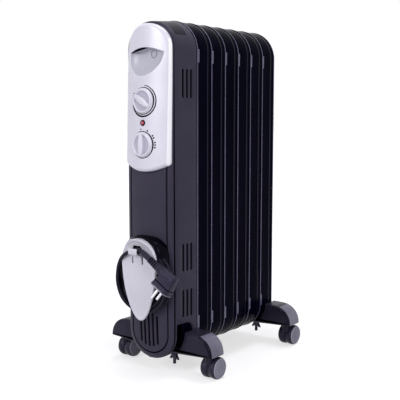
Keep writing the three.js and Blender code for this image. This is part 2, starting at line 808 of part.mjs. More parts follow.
// The hand's space in the recess, with an undercut behind its upper lip.
function gripSpace(growth) {
  const back = gripFloor + growth;
  const lip = panelFace(0, gripTop) + gripLipDepth - growth;
  return join(extrudeY(gripShape(growth), ahead, back, 4),
    extrudeY(gripShape(growth), lip, back, 4).translate([0, 0, gripUndercut]));
}

function controlPanel() {
  const pads = [thermostatHeight, selectorHeight].map((height) =>
    rodY(0, height, controlFace, controlFace + controlPadDepth, knobRadius + 1, 12));
  const face = cut(join(cut(panelBlock(0), panelBlock(-panelWall)), ...pads),
    coverBlock(clearance, 0, false));
  const recess = common(panelBlock(0), gripSpace(panelWall));
  return cut(join(face, recess), gripSpace(0), lampHole(lampRadius + clearance),
    controlHole(thermostatHeight), controlHole(selectorHeight));
}

// ---- Knobs, lamp and what they work ----

function knob(height, gripAngle) {
  const back = controlFace - clearance;
  const rim = knobRadius - knobTaper;
  const dish = knobDepth - knobDish;
  const face = turned([[0, 0], [knobRadius, 0], [knobRadius, knobFlangeDepth], [rim, knobDepth],
    [rim - knobRimWidth, knobDepth], [rim - knobRimWidth - knobDish / 2, dish], [0, dish]],
  new THREE.Vector3(0, back, height), new THREE.Vector3(0, -1, 0), 20);
  const half = knobGrip / 2;
  const reach = rim - knobRimWidth / 2;
  const bar = extrudeY(slotShape(-half, half, -reach, reach), back - knobDepth - 1, back - dish + 1, 3)
    .rotate([0, THREE.MathUtils.radToDeg(-gripAngle), 0]);
  return cut(join(face, bar.translate([0, 0, height])),
    rodY(0, height, back - knobDepth + knobSocket, back + 1, spindleRadius + clearance, 12));
}

const spindleEnd = bracketFace + controlBodyDepth - bossInset;

function spindle(height) {
  const tip = controlFace - clearance - knobDepth + knobSocket + clearance;
  return rodY(0, height, tip, spindleEnd, spindleRadius, 12);
}

// A square body behind the bracket, with a tag bent back on each side.
function controlBody(height, size) {
  const front = bracketFace + clearance;
  const back = front + controlBodyDepth;
  const block = box(-size / 2, size / 2, front, back, height - size / 2, height + size / 2);
  const tag = new THREE.Shape([[0, 0], [tagReach, 0], [tagReach, tagLength], [tagReach - tagWidth, tagLength],
    [tagReach - tagWidth, tagReach], [0, tagReach]].map(([u, v]) => new THREE.Vector2(u, v)));
  const right = extrudeZ(tag, height - tagHeight / 2, height + tagHeight / 2)
    .translate([size / 2 - weld, back - tagLength / 2, 0]);
  return cut(join(block, right, right.mirror([1, 0, 0])),
    rodY(0, height, ahead, spindleEnd + clearance, spindleRadius + runningGap, 12));
}

function controlBracket() {
  const plate = box(-bracketHalfWidth, bracketHalfWidth, bracketFace - bracketThickness, bracketFace,
    bracketBottom, bracketTop);
  return cut(plate, controlHole(thermostatHeight), controlHole(selectorHeight), lampHole(lampRadius + 1));
}

const lampFront = panelFace(0, lampHeight) - lampRecess;

function pilotLamp() {
  const body = rodY(0, lampHeight, lampFront, bracketFace + lampReach, lampRadius, 14);
  return cut(body, rodY(0, lampHeight, ahead, lampFront + lensDepth, lensRadius + clearance, 14));
}

function pilotLens() {
  const dome = [1, 0.8, 0.4].map((share) =>
    [lensRadius * share, lensDepth + lensProud * Math.sqrt(1 - share * share)]);
  return turned([[0, 0], [lensRadius, 0], ...dome, [0, lensDepth + lensProud]],
    new THREE.Vector3(0, lampFront + lensDepth - clearance, lampHeight), new THREE.Vector3(0, -1, 0), 14);
}

function terminalBlock() {
  const bottom = bracketBottom + terminalHeight / 2;
  const front = bracketFace + clearance;
  const back = front + terminalDepth;
  const block = box(-terminalWidth / 2, terminalWidth / 2, front, back, bottom, bottom + terminalHeight);
  const wells = [-1, 0, 1].map((place) => rodY(place * terminalPitch, bottom + terminalHeight / 2,
    back - terminalWellDepth, back + 1, terminalWellRadius, 8));
  return cut(block, ...wells);
}

function thermalCutout() {
  const seat = frontFootWeb - channelDepth - clearance;
  const height = bracketBottom - cutoutDrop;
  const tag = box(-cutoutTagLength / 2, cutoutTagLength / 2, seat - 2 * cutoutTagThickness,
    seat - cutoutTagThickness, height - cutoutTagWidth / 2, height + cutoutTagWidth / 2);
  return join(rodY(0, height, seat - cutoutDepth, seat, cutoutRadius, 14), tag);
}

// ---- Cord wrap ----

// Egg-shaped outline: a round top and sides that close on a low tip.
function eggPoints(inset, tip = plateTip) {
  const r = plateRadius - inset;
  const shape = new THREE.Shape();
  shape.absarc(0, wrapHeight, r, 0, Math.PI);
  const half = plateTipHalf * r / plateRadius;
  shape.bezierCurveTo(-r, wrapHeight - plateShoulder, -half, tip + inset, 0, tip + inset);
  shape.bezierCurveTo(half, tip + inset, r, wrapHeight - plateShoulder, r, wrapHeight);
  return shape.getPoints(7);
}

const eggRing = (inset, y, tip) => eggPoints(inset, tip).map((p) =>
  new THREE.Vector3(p.x, typeof y === 'function' ? y(p.x, p.y) : y, p.y));

const plateBow = (x, z) =>
  plateFace + plateBowDepth * Math.max(0, (plateBowTop - z) / (plateBowTop - plateTip))
  - plateLip * Math.max(0, 2 * (z - wrapHeight) / plateRadius - 1) ** 1.5;

function plateShell() {
  const edge = plateThickness / 2;
  const outer = skin([eggRing(0, plateFace + plateRim), eggRing(0, (x, z) => plateBow(x, z) + edge),
    eggRing(edge, plateBow), eggRing(plateStep, plateBow)]);
  const inner = skin([eggRing(plateThickness, plateFace + plateRim + 1),
    eggRing(plateThickness, (x, z) => plateBow(x, z) + plateThickness + edge),
    eggRing(plateStep, (x, z) => plateBow(x, z) + plateThickness)]);
  return cut(outer, inner);
}

function wrapPlate() {
  const window = box(tongueLeft - tongueSlit, tongueRight + tongueSlit, plateFace - 2 * plateLip,
    plateFace + 2 * plateThickness, tongueRoot + tongueSlit, windowTop);
  return join(cut(plateShell(), window), tongue());
}

// Outline of a bent strip of even thickness along a line of points.
function strip(points, thickness) {
  const sides = [1, -1].map((side) => points.map((point, i) => {
    const along = points[Math.min(i + 1, points.length - 1)].clone().sub(points[Math.max(i - 1, 0)]);
    return point.clone().add(new THREE.Vector2(-along.y, along.x).setLength(side * thickness / 2));
  }));
  return new THREE.Shape([...sides[0], ...sides[1].reverse()]);
}

// It leaves the plate's face, bows forward over the lead and stops short of the window's top.
function tongue() {
  const middle = plateFace + tongueWall / 2;
  const out = middle - tongueBulge;
  const bend = tongueBend;
  const path = [[middle, tongueRoot - 1], [middle, tongueRoot + 2 * bend],
    [middle - bend / 2, tongueRoot + 3 * bend], [out + bend / 2, tongueRoot + 3.7 * bend],
    [out, tongueRoot + 4.6 * bend], [out, tongueTop - bend], [out + bend / 4, tongueTop]];
  return extrudeX(strip(path.map(([y, z]) => new THREE.Vector2(y, z)), tongueWall), tongueLeft, tongueRight);
}

function wrapDrum() {
  const insidePlate = (x, z) => plateBow(x, z) + plateThickness / 2;
  const wall = skin([eggRing(drumInset, shellFront - coverEdgeDepth, drumTip),
    eggRing(drumInset, insidePlate, drumTip)]);
  const hollow = skin([eggRing(drumInset + drumWall, shellFront, drumTip),
    eggRing(drumInset + drumWall, plateFace + plateRim, drumTip)]);
  return cut(wall, hollow, cordWindow(), plateShell().translate([0, clearance, 0]),
    coverBlock(clearance, 0, false));
}

function cordWindow() {
  return box(tongueLeft - windowSide, tongueRight + windowSide, plateFace, plateFace + 2 * plateThickness,
    tongueRoot, wrapHeight + plateRadius);
}

function drumScrewHoles() {
  const upper = wrapHeight + drumScrewRise;
  return join(...[upper, upper - drumScrewPitch].map((height) =>
    rodY(0, height, plateFace, 0, drumScrewRadius, 8)));
}

// ---- Lead ----

const glandDirection = glandEnd.clone().sub(glandStart).normalize();

function glandHole() {
  return rod(glandStart.clone().addScaledVector(glandDirection, -20), glandEnd, glandRadius + clearance,
    glandRadius + clearance, 12);
}

function cordGland() {
  const root = glandStart.clone().addScaledVector(glandDirection, -6);
  return rod(root, glandEnd, glandRadius, cordDiameter / 2 + 0.6, 12);
}

function cordCoil() {
  const ellipse = (inset, y) => {
    const points = [];
    for (let i = 0; i < coilSides; i += 1) {
      const angle = (i / coilSides) * 2 * Math.PI;
      points.push(new THREE.Vector3(coilMiddleX + (coilHalfWidth - inset) * Math.cos(angle), y,
        coilHeight + (coilHalfHeight - inset) * Math.sin(angle)));
    }
    return points;
  };
  const bevel = coilBevel;
  return skin([ellipse(0, coilRear - bevel), ellipse(bevel, coilRear), ellipse(coilBand - bevel, coilRear),
    ellipse(coilBand, coilRear - bevel), ellipse(coilBand, coilFront + bevel),
    ellipse(coilBand - bevel, coilFront), ellipse(bevel, coilFront), ellipse(0, coilFront + bevel)], true);
}

// From the winding, forward round the edge of the plate, under the tongue and on to the plug.
const tailRoute = [
  [-53.5, -91.2, 205], [-50, -94, 212], [-44, -97.2, 219], [-35, -99, 224.6], [-25, -98.9, 228.3],
  [-14, -98.3, 231.2], [-4, -98.1, 233], [5, -98.3, 234.8], [10.6, -101.3, 235.9], [14.2, -102.9, 235],
  [17, -103, 233.36],
].map(([x, y, z]) => new THREE.Vector3(x, y, z));

function cordTail() {
  return tube(tailRoute, cordDiameter / 2, cordSides, tailSteps);
}

// ---- Plug: ribbed relief, body along the lead and a round face with two pins across it ----

const alongPlug = (distance, drop = 0) =>
  reliefStart.clone().addScaledVector(plugAxis, distance).addScaledVector(pinAxis, drop);
const pairAxis = new THREE.Vector3().crossVectors(plugAxis, pinAxis).normalize();

function plugBody() {
  const relief = rod(alongPlug(0), alongPlug(reliefLength + 2), cordDiameter / 2 + 1, 6.5, 10);
  const spine = rod(alongPlug(reliefLength), alongPlug(plugLength - 4), 8, 9.5, 10);
  const block = rod(alongPlug(plugFaceAt - 2, 0), alongPlug(plugFaceAt, plugFaceDrop), 14, plugRadius, 16);
  let body = join(relief, spine, block);
  for (const side of [-1, 1]) body = cut(body, pinRod(side, clearance, -8));
  return body;
}

function pinRod(side, growth, from) {
  const root = alongPlug(plugFaceAt, plugFaceDrop).addScaledVector(pairAxis, side * pinSpacing / 2);
  return rod(root.clone().addScaledVector(pinAxis, from),
    root.clone().addScaledVector(pinAxis, pinLength), pinRadius + growth, pinRadius + growth, 10);
}

// ---- Assembly ----

const finishes = {
  sectionPaint: { color: 0x16132a, roughness: 0.25, metalness: 0.1 },
  housing: { color: 0x3b3843, roughness: 0.45, metalness: 0 },
  panel: { color: 0xd2cfdf, roughness: 0.35, metalness: 0.15 },
  plate: { color: 0xc6c4d2, roughness: 0.4, metalness: 0.1 },
  foot: { color: 0x2e2b38, roughness: 0.35, metalness: 0 },
  wheel: { color: 0x3d3b49, roughness: 0.5, metalness: 0 },
  black: { color: 0x17151f, roughness: 0.5, metalness: 0 },
  steel: { color: 0xb4b4b8, roughness: 0.3, metalness: 1 },
  brass: { color: 0xb99a55, roughness: 0.35, metalness: 1 },
  element: { color: 0x6c6661, roughness: 0.6, metalness: 0.8 },
  lamp: { color: 0xa82f4d, roughness: 0.2, metalness: 0 },
  pale: { color: 0xd9d6cc, roughness: 0.6, metalness: 0 },
};

const heater = new THREE.Group();
heater.position.y = -originY;

function place(name, made, finish) {
  const { vertProperties, triVerts } = made.getMesh();
  const geometry = new THREE.BufferGeometry();
  geometry.setAttribute('position', new THREE.BufferAttribute(new Float32Array(vertProperties), 3));
  geometry.setIndex(new THREE.BufferAttribute(new Uint32Array(triVerts), 1));
  geometry.computeVertexNormals();
  const mesh = new THREE.Mesh(geometry, new THREE.MeshStandardMaterial(finishes[finish]));
  mesh.name = name;
  heater.add(mesh);
}

for (let number = 1; number <= sectionCount; number += 1) {
  place(`section_${number}`, radiatorSection(number), 'sectionPaint');
}
place('oil_filler_plug', fillerPlug(), 'steel');
place('element_flange', elementFlange(), 'brass');
place('heating_element', heatingElement(), 'element');
place('housing_shell', housingShell(), 'housing');
place('front_cover', frontCover(), 'housing');
place('control_panel', controlPanel(), 'panel');
place('control_bracket', controlBracket(), 'steel');
place('thermostat', controlBody(thermostatHeight, controlBodySize), 'pale');
place('selector_switch', controlBody(selectorHeight, switchBodySize), 'black');
place('thermostat_spindle', spindle(thermostatHeight), 'steel');
place('selector_spindle', spindle(selectorHeight), 'steel');
place('thermostat_knob', knob(thermostatHeight, thermostatGripAngle), 'panel');
place('selector_knob', knob(selectorHeight, selectorGripAngle), 'panel');
place('pilot_lamp', pilotLamp(), 'black');
place('pilot_lens', pilotLens(), 'lamp');
place('terminal_block', terminalBlock(), 'pale');
place('thermal_cutout', thermalCutout(), 'steel');
place('wrap_drum', wrapDrum(), 'black');
place('wrap_plate', wrapPlate(), 'plate');
place('cord_gland', cordGland(), 'black');
place('cord_coil', cordCoil(), 'black');
place('cord_tail', cordTail(), 'black');
place('plug_body', plugBody(), 'black');
place('plug_pin_1', pinRod(-1, 0, -8 + clearance), 'steel');
place('plug_pin_2', pinRod(1, 0, -8 + clearance), 'steel');

const feet = [['front', frontFootMiddle, frontFootWeb - boltOffset],
  ['rear', rearFootMiddle, rearFootWeb + boltOffset]];
for (const [end, middle, boltY] of feet) {
  place(`${end}_foot_bar`, footBar(middle, boltY), 'foot');
  place(`${end}_u_bolt`, uBolt(boltY), 'steel');
  for (const [hand, side] of [['left', -1], ['right', 1]]) {
    const corner = `${end}_${hand}`;
    const x = side * casterX;
    place(`${corner}_wing_nut`, wingNut(side, boltY), 'steel');
    place(`${corner}_caster`, casterBody(x, middle), 'foot');
    place(`${corner}_axle`, axle(x, middle + casterTrail), 'steel');
    place(`${corner}_wheel_inner`, wheel(x, middle + casterTrail, -side), 'wheel');
    place(`${corner}_wheel_outer`, wheel(x, middle + casterTrail, side), 'wheel');
  }
}

export default heater;
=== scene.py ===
"""Looks of the oil filled radiator heater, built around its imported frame. Metres, +Z up, -Y is the front."""
import json
from math import asin, cos, hypot, pi, radians, sin, tau

import bmesh
import bpy
from mathutils import Matrix, Vector
from mathutils.bvhtree import BVHTree


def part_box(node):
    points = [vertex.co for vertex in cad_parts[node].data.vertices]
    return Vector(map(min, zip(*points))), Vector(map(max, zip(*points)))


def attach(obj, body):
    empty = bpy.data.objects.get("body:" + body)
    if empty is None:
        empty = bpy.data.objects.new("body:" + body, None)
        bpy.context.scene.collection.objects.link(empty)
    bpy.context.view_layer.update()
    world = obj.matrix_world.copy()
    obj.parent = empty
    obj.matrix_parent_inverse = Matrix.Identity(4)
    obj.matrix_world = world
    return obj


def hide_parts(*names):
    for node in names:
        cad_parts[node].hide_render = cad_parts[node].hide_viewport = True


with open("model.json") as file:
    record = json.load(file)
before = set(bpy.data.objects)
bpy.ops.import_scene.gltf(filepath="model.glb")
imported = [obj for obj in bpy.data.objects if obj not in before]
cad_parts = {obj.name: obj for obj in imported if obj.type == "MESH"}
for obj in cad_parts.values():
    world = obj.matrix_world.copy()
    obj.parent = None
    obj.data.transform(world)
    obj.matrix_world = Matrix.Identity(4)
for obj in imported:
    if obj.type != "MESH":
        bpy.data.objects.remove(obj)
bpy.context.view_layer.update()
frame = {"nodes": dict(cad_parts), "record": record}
scene = bpy.context.scene
MM = 0.001
FORWARD, REARWARD = Vector((0, -1, 0)), Vector((0, 1, 0))

# ------------------------ places, from the frame

RIM_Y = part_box("section_1")[1].y + 0.15 * MM      # rear rim of the first section
SECTIONS = [name for name in sorted(frame["nodes"]) if name.startswith("section_")]


def at(x, y, z):
    """A point in mm, with y counted from the rear rim of the first section."""
    return Vector((x * MM, RIM_Y + y * MM, z * MM))


def in_mm(point):
    """The x, y and z that `at` makes a point of."""
    return point.x / MM, (point.y - RIM_Y) / MM, point.z / MM


def box_mm(name):
    """Low and high corners of a CAD piece's box, in mm."""
    return [in_mm(corner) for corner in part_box(name)]


def new_object(name, data):
    obj = bpy.data.objects.new(name, data)
    scene.collection.objects.link(obj)
    return obj


# ------------------------ camera

YAW, PITCH_DOWN = radians(38.4), radians(6.54)
camera = new_object("camera", bpy.data.cameras.new("camera"))
camera.location = at(875.56, -1023.35, 467.3)
look = Vector((-sin(YAW) * cos(PITCH_DOWN), cos(YAW) * cos(PITCH_DOWN),
               -sin(PITCH_DOWN)))
camera.rotation_euler = look.to_track_quat("-Z", "Y").to_euler()
camera.data.lens = 66.16
camera.data.sensor_width = 36.0
camera.data.clip_end = 20.0
scene.camera = camera
scene.view_settings.view_transform = "Standard"


# ------------------------ materials

def linear(rgb):
    """An sRGB colour of 0 to 255 in the shader's linear values."""
    values = [c / 255 for c in rgb]
    return tuple(v / 12.92 if v <= 0.04045 else ((v + 0.055) / 1.055) ** 2.4 for v in values) + (1.0,)


def filled(node, **values):
    """Sets inputs of a node; their names have _ for each space."""
    for name, value in values.items():
        node.inputs[name.replace("_", " ")].default_value = value
    return node


def principled(name, **values):
    """A new material, its nodes and links, and its shader with some inputs set."""
    material = bpy.data.materials.new(name)
    material.use_nodes = True
    nodes = material.node_tree.nodes
    return material, nodes, material.node_tree.links, filled(nodes["Principled BSDF"], **values)


def shade(name, dark, light, scale, rough, bump, bump_scale, metal=0.0, specular=0.5, coat=0.0,
          stretch=(1, 1, 1), tint=(1, 1, 1)):
    """A finish with cloudy colour between two tones, uneven gloss and a fine surface grain."""
    material, nodes, links, shader = principled(name, Metallic=metal, Specular_IOR_Level=specular, Coat_Weight=coat,
                                                Coat_Roughness=0.08, Specular_Tint=tint + (1,))
    mapping = filled(nodes.new("ShaderNodeMapping"), Scale=stretch)
    links.new(nodes.new("ShaderNodeTexCoord").outputs["Object"], mapping.inputs["Vector"])

    def noise(size, detail):
        texture = filled(nodes.new("ShaderNodeTexNoise"), Scale=size, Detail=detail)
        links.new(mapping.outputs["Vector"], texture.inputs["Vector"])
        return texture.outputs["Fac"]

    ramp = nodes.new("ShaderNodeValToRGB")
    for stop, place, tone in zip(ramp.color_ramp.elements, (0.35, 0.65), (dark, light)):
        stop.position = place
        stop.color = linear(tone)
    links.new(noise(scale, 4), ramp.inputs["Fac"])
    links.new(ramp.outputs["Color"], shader.inputs["Base Color"])
    gloss = filled(nodes.new("ShaderNodeMapRange"), To_Min=rough[0], To_Max=rough[1])
    links.new(noise(scale * 2.3, 2), gloss.inputs["Value"])
    links.new(gloss.outputs["Result"], shader.inputs["Roughness"])
    grain = filled(nodes.new("ShaderNodeBump"), Strength=bump, Distance=0.2 * MM)
    links.new(noise(bump_scale, 3), grain.inputs["Height"])
    links.new(grain.outputs["Normal"], shader.inputs["Normal"])
    return material


def night(name, *values):
    """A dark finish whose reflections turn blue; the last value is their strength."""
    return shade(name, *values[:-1], specular=values[-1], tint=(0.72, 0.68, 1.0))


ENAMEL = night("navy_enamel", (1, 1, 15), (4, 4, 21), 9, (0.14, 0.22), 0.02, 900, 0.01)
# Painted highlight: the sections' rolled rims are lighter than the enamel, on top of their stronger gloss.
ENAMEL_RIM_HIGHLIGHT = night("rim_painted_highlight", (68, 65, 86), (84, 81, 104), 30, (0.14, 0.22), 0.03, 900, 0.7)
# Painted highlight along the crease of each section's band.
ENAMEL_CREASE_HIGHLIGHT = night("crease_painted_highlight", (14, 13, 25), (20, 19, 32), 30, (0.16, 0.24), 0.03, 900, 0.12)
# Painted highlight: pale slivers just behind each rim where the sides turn into the round ends.
ENAMEL_PAINTED_GLINT = shade("painted_glint_enamel", (84, 82, 108), (102, 100, 126), 30, (0.2, 0.3), 0.03, 900)
HOUSING = night("charcoal_paint", (51, 48, 62), (57, 53, 68), 12, (0.36, 0.46), 0.08, 1500, 0.14)
TOP_INSET = night("top_inset", (20, 18, 28), (27, 25, 36), 20, (0.3, 0.4), 0.06, 1500, 0.1)
SILVER = shade("silver_paint", (212, 210, 224), (218, 216, 230), 20, (0.26, 0.34), 0.04, 2200, metal=0.05,
               specular=0.4)
# Painted highlight: the panel's side bevels are nearly white.
SILVER_BEVEL_HIGHLIGHT = shade("silver_bevel_highlight", (244, 243, 250), (249, 248, 254), 20, (0.2, 0.28), 0.04, 2200)
# Painted shade: a darker silver inside the finger recess.
SCOOP_SHADE = shade("silver_recess_shade", (176, 175, 190), (188, 187, 202), 14, (0.3, 0.4), 0.04, 2200)
# Painted shade: a darker silver on the dished face of the dials.
DISH_SHADE = shade("silver_dish_shade", (176, 174, 190), (186, 184, 200), 20, (0.3, 0.4), 0.04, 2200)
PLATE = shade("silver_plate", (206, 203, 217), (213, 210, 223), 20, (0.34, 0.42), 0.05, 2200, specular=0.4)
INK = night("printed_ink", (3, 3, 7), (6, 5, 10), 300, (0.5, 0.6), 0.05, 2000, 0.05)
LENS = shade("lamp_lens", (150, 28, 56), (176, 44, 74), 300, (0.1, 0.16), 0.05, 900, specular=0.6, coat=0.6)
BLACK = night("black_moulding", (10, 9, 15), (15, 13, 20), 40, (0.4, 0.5), 0.1, 1400, 0.06)
# Painted shade: flat black for sheets and faces set where shade falls in vents, slots, the seam, grooves, round the
# dials and under the lip.
SHADE_BLACK = night("painted_shade_black", (5, 4, 8), (8, 7, 11), 40, (0.6, 0.7), 0.05, 1400, 0.02)
GLOSS_BLACK = night("glossy_moulding", (8, 7, 15), (12, 10, 21), 30, (0.12, 0.2), 0.03, 1200, 0.04)
RUBBER = night("cord_vinyl", (16, 14, 24), (24, 22, 33), 70, (0.3, 0.42), 0.12, 1200, 0.14)
PLUG = night("plug_vinyl", (36, 34, 48), (45, 43, 58), 60, (0.34, 0.46), 0.12, 1200, 0.16)
# Painted highlight for the edge of the plug's pin face.
PLUG_EDGE_HIGHLIGHT = shade("plug_edge_highlight", (96, 94, 110), (112, 110, 126), 60, (0.3, 0.4), 0.05, 1200)
FOOT = night("foot_plastic", (34, 31, 44), (41, 38, 52), 25, (0.26, 0.36), 0.08, 1300, 0.14)
# Painted shade on the front bevel of the feet's domed ends.
FOOT_EDGE_SHADE = night("foot_edge_shade", (14, 12, 22), (20, 18, 29), 25, (0.2, 0.3), 0.05, 1300, 0.1)
# Painted highlight: the domed ends of the feet are lighter than the foot plastic.
FENDER_HIGHLIGHT = shade("fender_highlight", (96, 93, 112), (116, 113, 132), 25, (0.22, 0.3), 0.05, 1300, specular=0.3)
WHEEL = night("wheel_nylon", (44, 42, 55), (52, 50, 64), 40, (0.42, 0.52), 0.1, 1600, 0.14)
TREAD = night("wheel_tread", (36, 34, 46), (44, 42, 55), 60, (0.3, 0.4), 0.1, 900, 0.2)
CAP = shade("wheel_cap", (122, 120, 136), (134, 132, 148), 40, (0.4, 0.5), 0.1, 1600, specular=0.2)
# Painted highlight for the bevelled edge of the wheel caps.
CAP_EDGE_HIGHLIGHT = shade("wheel_cap_edge", (150, 148, 162), (165, 163, 178), 60, (0.3, 0.4), 0.05, 900)
BOLT = shade("dark_steel", (38, 36, 46), (58, 56, 66), 90, (0.2, 0.3), 0.08, 700, metal=1.0)
STEEL = shade("plated_steel", (190, 190, 196), (214, 214, 220), 90, (0.2, 0.34), 0.08, 700, metal=1.0,
              stretch=(1, 1, 6))
BRASS = shade("brass_fittings", (176, 142, 78), (200, 168, 98), 80, (0.28, 0.4), 0.08, 700, metal=1.0)
SHEATH = shade("element_sheath", (104, 96, 88), (132, 118, 104), 70, (0.4, 0.55), 0.15, 500, metal=0.9)
PALE = shade("pale_moulding", (214, 209, 196), (224, 220, 208), 60, (0.5, 0.6), 0.1, 900)


# ------------------------ mesh tools

def spread(start, end, steps):
    """Values in equal steps from start to end, both included."""
    return [start + (end - start) * i / steps for i in range(steps + 1)]


def arc(x, z, wide, high, start, end, steps):
    """Points of an ellipse round (x, z) from one angle to another."""
    return [(x + wide * cos(a), z + high * sin(a)) for a in spread(start, end, steps)]


def turns(count):
    """Angles in equal steps once round a circle."""
    return spread(0, tau, count)[:-1]


QUARTER = pi / 2


def held(value, low=0.0):
    return min(1.0, max(low, value))


def eased(share):
    """A share held between 0 and 1, with a soft start and end."""
    share = held(share)
    return share * share * (3 - 2 * share)


def mesh_object(name, verts, faces, weld):
    """A linked mesh whose points closer than weld mm are joined and whose faces look outwards."""
    mesh = bpy.data.meshes.new(name)
    mesh.from_pydata([tuple(v) for v in verts], [], faces)
    form = bmesh.new()
    form.from_mesh(mesh)
    bmesh.ops.remove_doubles(form, verts=form.verts, dist=weld * MM)
    bmesh.ops.recalc_face_normals(form, faces=form.faces)
    form.to_mesh(mesh)
    form.free()
    return new_object(name, mesh)


def piece(name, shape, materials, replaces=(), sharp=35, body="radiator"):
    """Makes a shaded piece that rides on a body, wears the given materials and stands for CAD nodes."""
    obj = mesh_object(name, *shape, weld=0.004)
    for material in materials:
        obj.data.materials.append(material)
    finish_shading(obj, sharp)
    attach(obj, body)
    if replaces:
        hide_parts(*replaces)
    return obj


def finish_shading(obj, sharp):
    for polygon in obj.data.polygons:
        polygon.use_smooth = True
    obj.data.set_sharp_from_angle(angle=radians(sharp))


def paint(obj, *tests):
    """Gives a piece's second material to faces that pass the first test(face, x, y, z), and so on in order."""
    for polygon in obj.data.polygons:
        passed = [test(polygon, *in_mm(polygon.center)) for test in tests]
        if any(passed):
            polygon.material_index = passed.index(True) + 1


def band(count, a, b):
    """Faces between two rings of as many points that start at vertices a and b."""
    return [(a + i, a + (i + 1) % count, b + (i + 1) % count, b + i) for i in range(count)]


def mirror_cap(count, offset):
    """Strips between each point of a ring and its mirror image. Point 0 is on the mirror line."""
    half = count // 2
    strips = [(i, i + 1, count - i - 1, count - i) for i in range(1, half - 1)]
    return [tuple(offset + i for i in face) for face in [(0, 1, count - 1)] + strips + [(half - 1, half, half + 1)]]


def loft(rings, closed=False, caps=(True, True)):
    """Faces through rings of as many points. Open ends are capped by strips across the ring's mirror line."""
    count = len(rings[0])
    verts = [p for ring in rings for p in ring]
    faces = []
    for r in range(len(rings) if closed else len(rings) - 1):
        faces += band(count, r * count, (r + 1) % len(rings) * count)
    if not closed:
        for end, wanted in ((0, caps[0]), (len(rings) - 1, caps[1])):
            if wanted:
                faces += mirror_cap(count, end * count)
    return verts, faces


def flat_loft(rings, first=True):
    """A loft whose last ring, and the first one if wanted, is closed by one flat face."""
    verts, faces = loft(rings, caps=(False, False))
    count = len(rings[0])
    if first:
        faces.append(tuple(reversed(range(count))))
    return verts, faces + [tuple(range(len(verts) - count, len(verts)))]


def merge(*parts):
    verts, faces = [], []
    for part_verts, part_faces in parts:
        faces += [tuple(i + len(verts) for i in face) for face in part_faces]
        verts += list(part_verts)
    return verts, faces


def mirrored_ring(half):
    """A whole ring of (x, z) from its right half, whose first and last points are put on the centre line."""
    half = [(0.0, half[0][1])] + half[1:-1] + [(0.0, half[-1][1])]
    return half + [(-x, z) for x, z in reversed(half[1:-1])]


def round_ended(half_width, top, bottom, top_rise, bottom_rise, inset):
    """Tall outline with round ends, in mm, as mirrored (x, z) points."""
    quarter, side = 22, 26                            # steps in a quarter of an end and along a side
    x = half_width - inset
    share = x / half_width
    high, low = top - inset - top_rise * share, bottom + inset + bottom_rise * share
    return mirrored_ring(arc(0, high, x, top_rise * share, QUARTER, 0, quarter)
                         + [(x, z) for z in spread(high, low, side)[1:-1]]
                         + arc(0, low, x, bottom_rise * share, 0, -QUARTER, quarter))


def ring_at(points, y):
    """Lifts (x, z) points in mm to a plane, or to a surface y(x, z)."""
    return [at(x, y(x, z) if callable(y) else y, z) for x, z in points]


def circle_round(centre, axis, radius, sides):
    """Points round an axis through a centre, all in metres."""
    across = axis.orthogonal().normalized()
    other = axis.cross(across)
    return [centre + (across * cos(t) + other * sin(t)) * radius for t in turns(sides)]


def turned(profile, origin, axis, sides):
    """A profile of (radius, height) in mm turned round an axis; it starts and ends on the axis."""
    axis = axis.normalized()
    return loft([circle_round(origin + axis * h * MM, axis, r * MM, sides) for r, h in profile], caps=(False, False))


def boolean(obj, cutter, operation="DIFFERENCE"):
    """Cuts a helper shape of (verts, faces) out of a piece, or joins it to the piece."""
    tool = mesh_object("cutter", *cutter, weld=0.001)
    modifier = obj.modifiers.new("cut", "BOOLEAN")
    modifier.operation = operation
    modifier.solver = "EXACT"
    modifier.object = tool
    apply_modifiers(obj)
    bpy.data.objects.remove(tool)


def apply_modifiers(obj):
    graph = bpy.context.evaluated_depsgraph_get()
    mesh = bpy.data.meshes.new_from_object(obj.evaluated_get(graph))
    obj.modifiers.clear()
    old, obj.data = obj.data, mesh
    bpy.data.meshes.remove(old)


def prism(points, low, high, axis="y"):
    """An outline of (u, v) in mm pulled along an axis: y from (x, z), or x from (y, z)."""
    lift = {"y": lambda u, v, w: at(u, w, v), "x": lambda u, v, w: at(w, u, v)}[axis]
    return flat_loft([[lift(u, v, w) for u, v in points] for w in (low, high)])


def bevel(obj, width, segments, angle=35, sharp=35):
    """Rounds the edges that turn by more than an angle in degrees."""
    modifier = obj.modifiers.new("bevel", "BEVEL")
    modifier.width = width * MM
    modifier.segments = segments
    modifier.limit_method = "ANGLE"
    modifier.angle_limit = radians(angle)
    modifier.harden_normals = False
    apply_modifiers(obj)
    finish_shading(obj, sharp)


def slot_outline(u0, u1, v0, v1, steps=8):
    """An upright slot with round ends."""
    r, middle = (u1 - u0) / 2, (u0 + u1) / 2
    return arc(middle, v1 - r, r, r, 0, pi, steps) + arc(middle, v0 + r, r, r, pi, tau, steps)


# ------------------------ the lead: winding, tail and plug

CORD = 7.0
GLAND_START, GLAND_END = at(-17.5, -68, 132.5), at(-39.9, -80.7, 161)
RELIEF_START = at(17.6, -103, 233)
PLUG_AXIS = Vector((0.858, 0, -0.512)).normalized()
PIN_AXIS = Vector((-0.474, -0.385, -0.793)).normalized()
PAIR_AXIS = PLUG_AXIS.cross(PIN_AXIS).normalized()
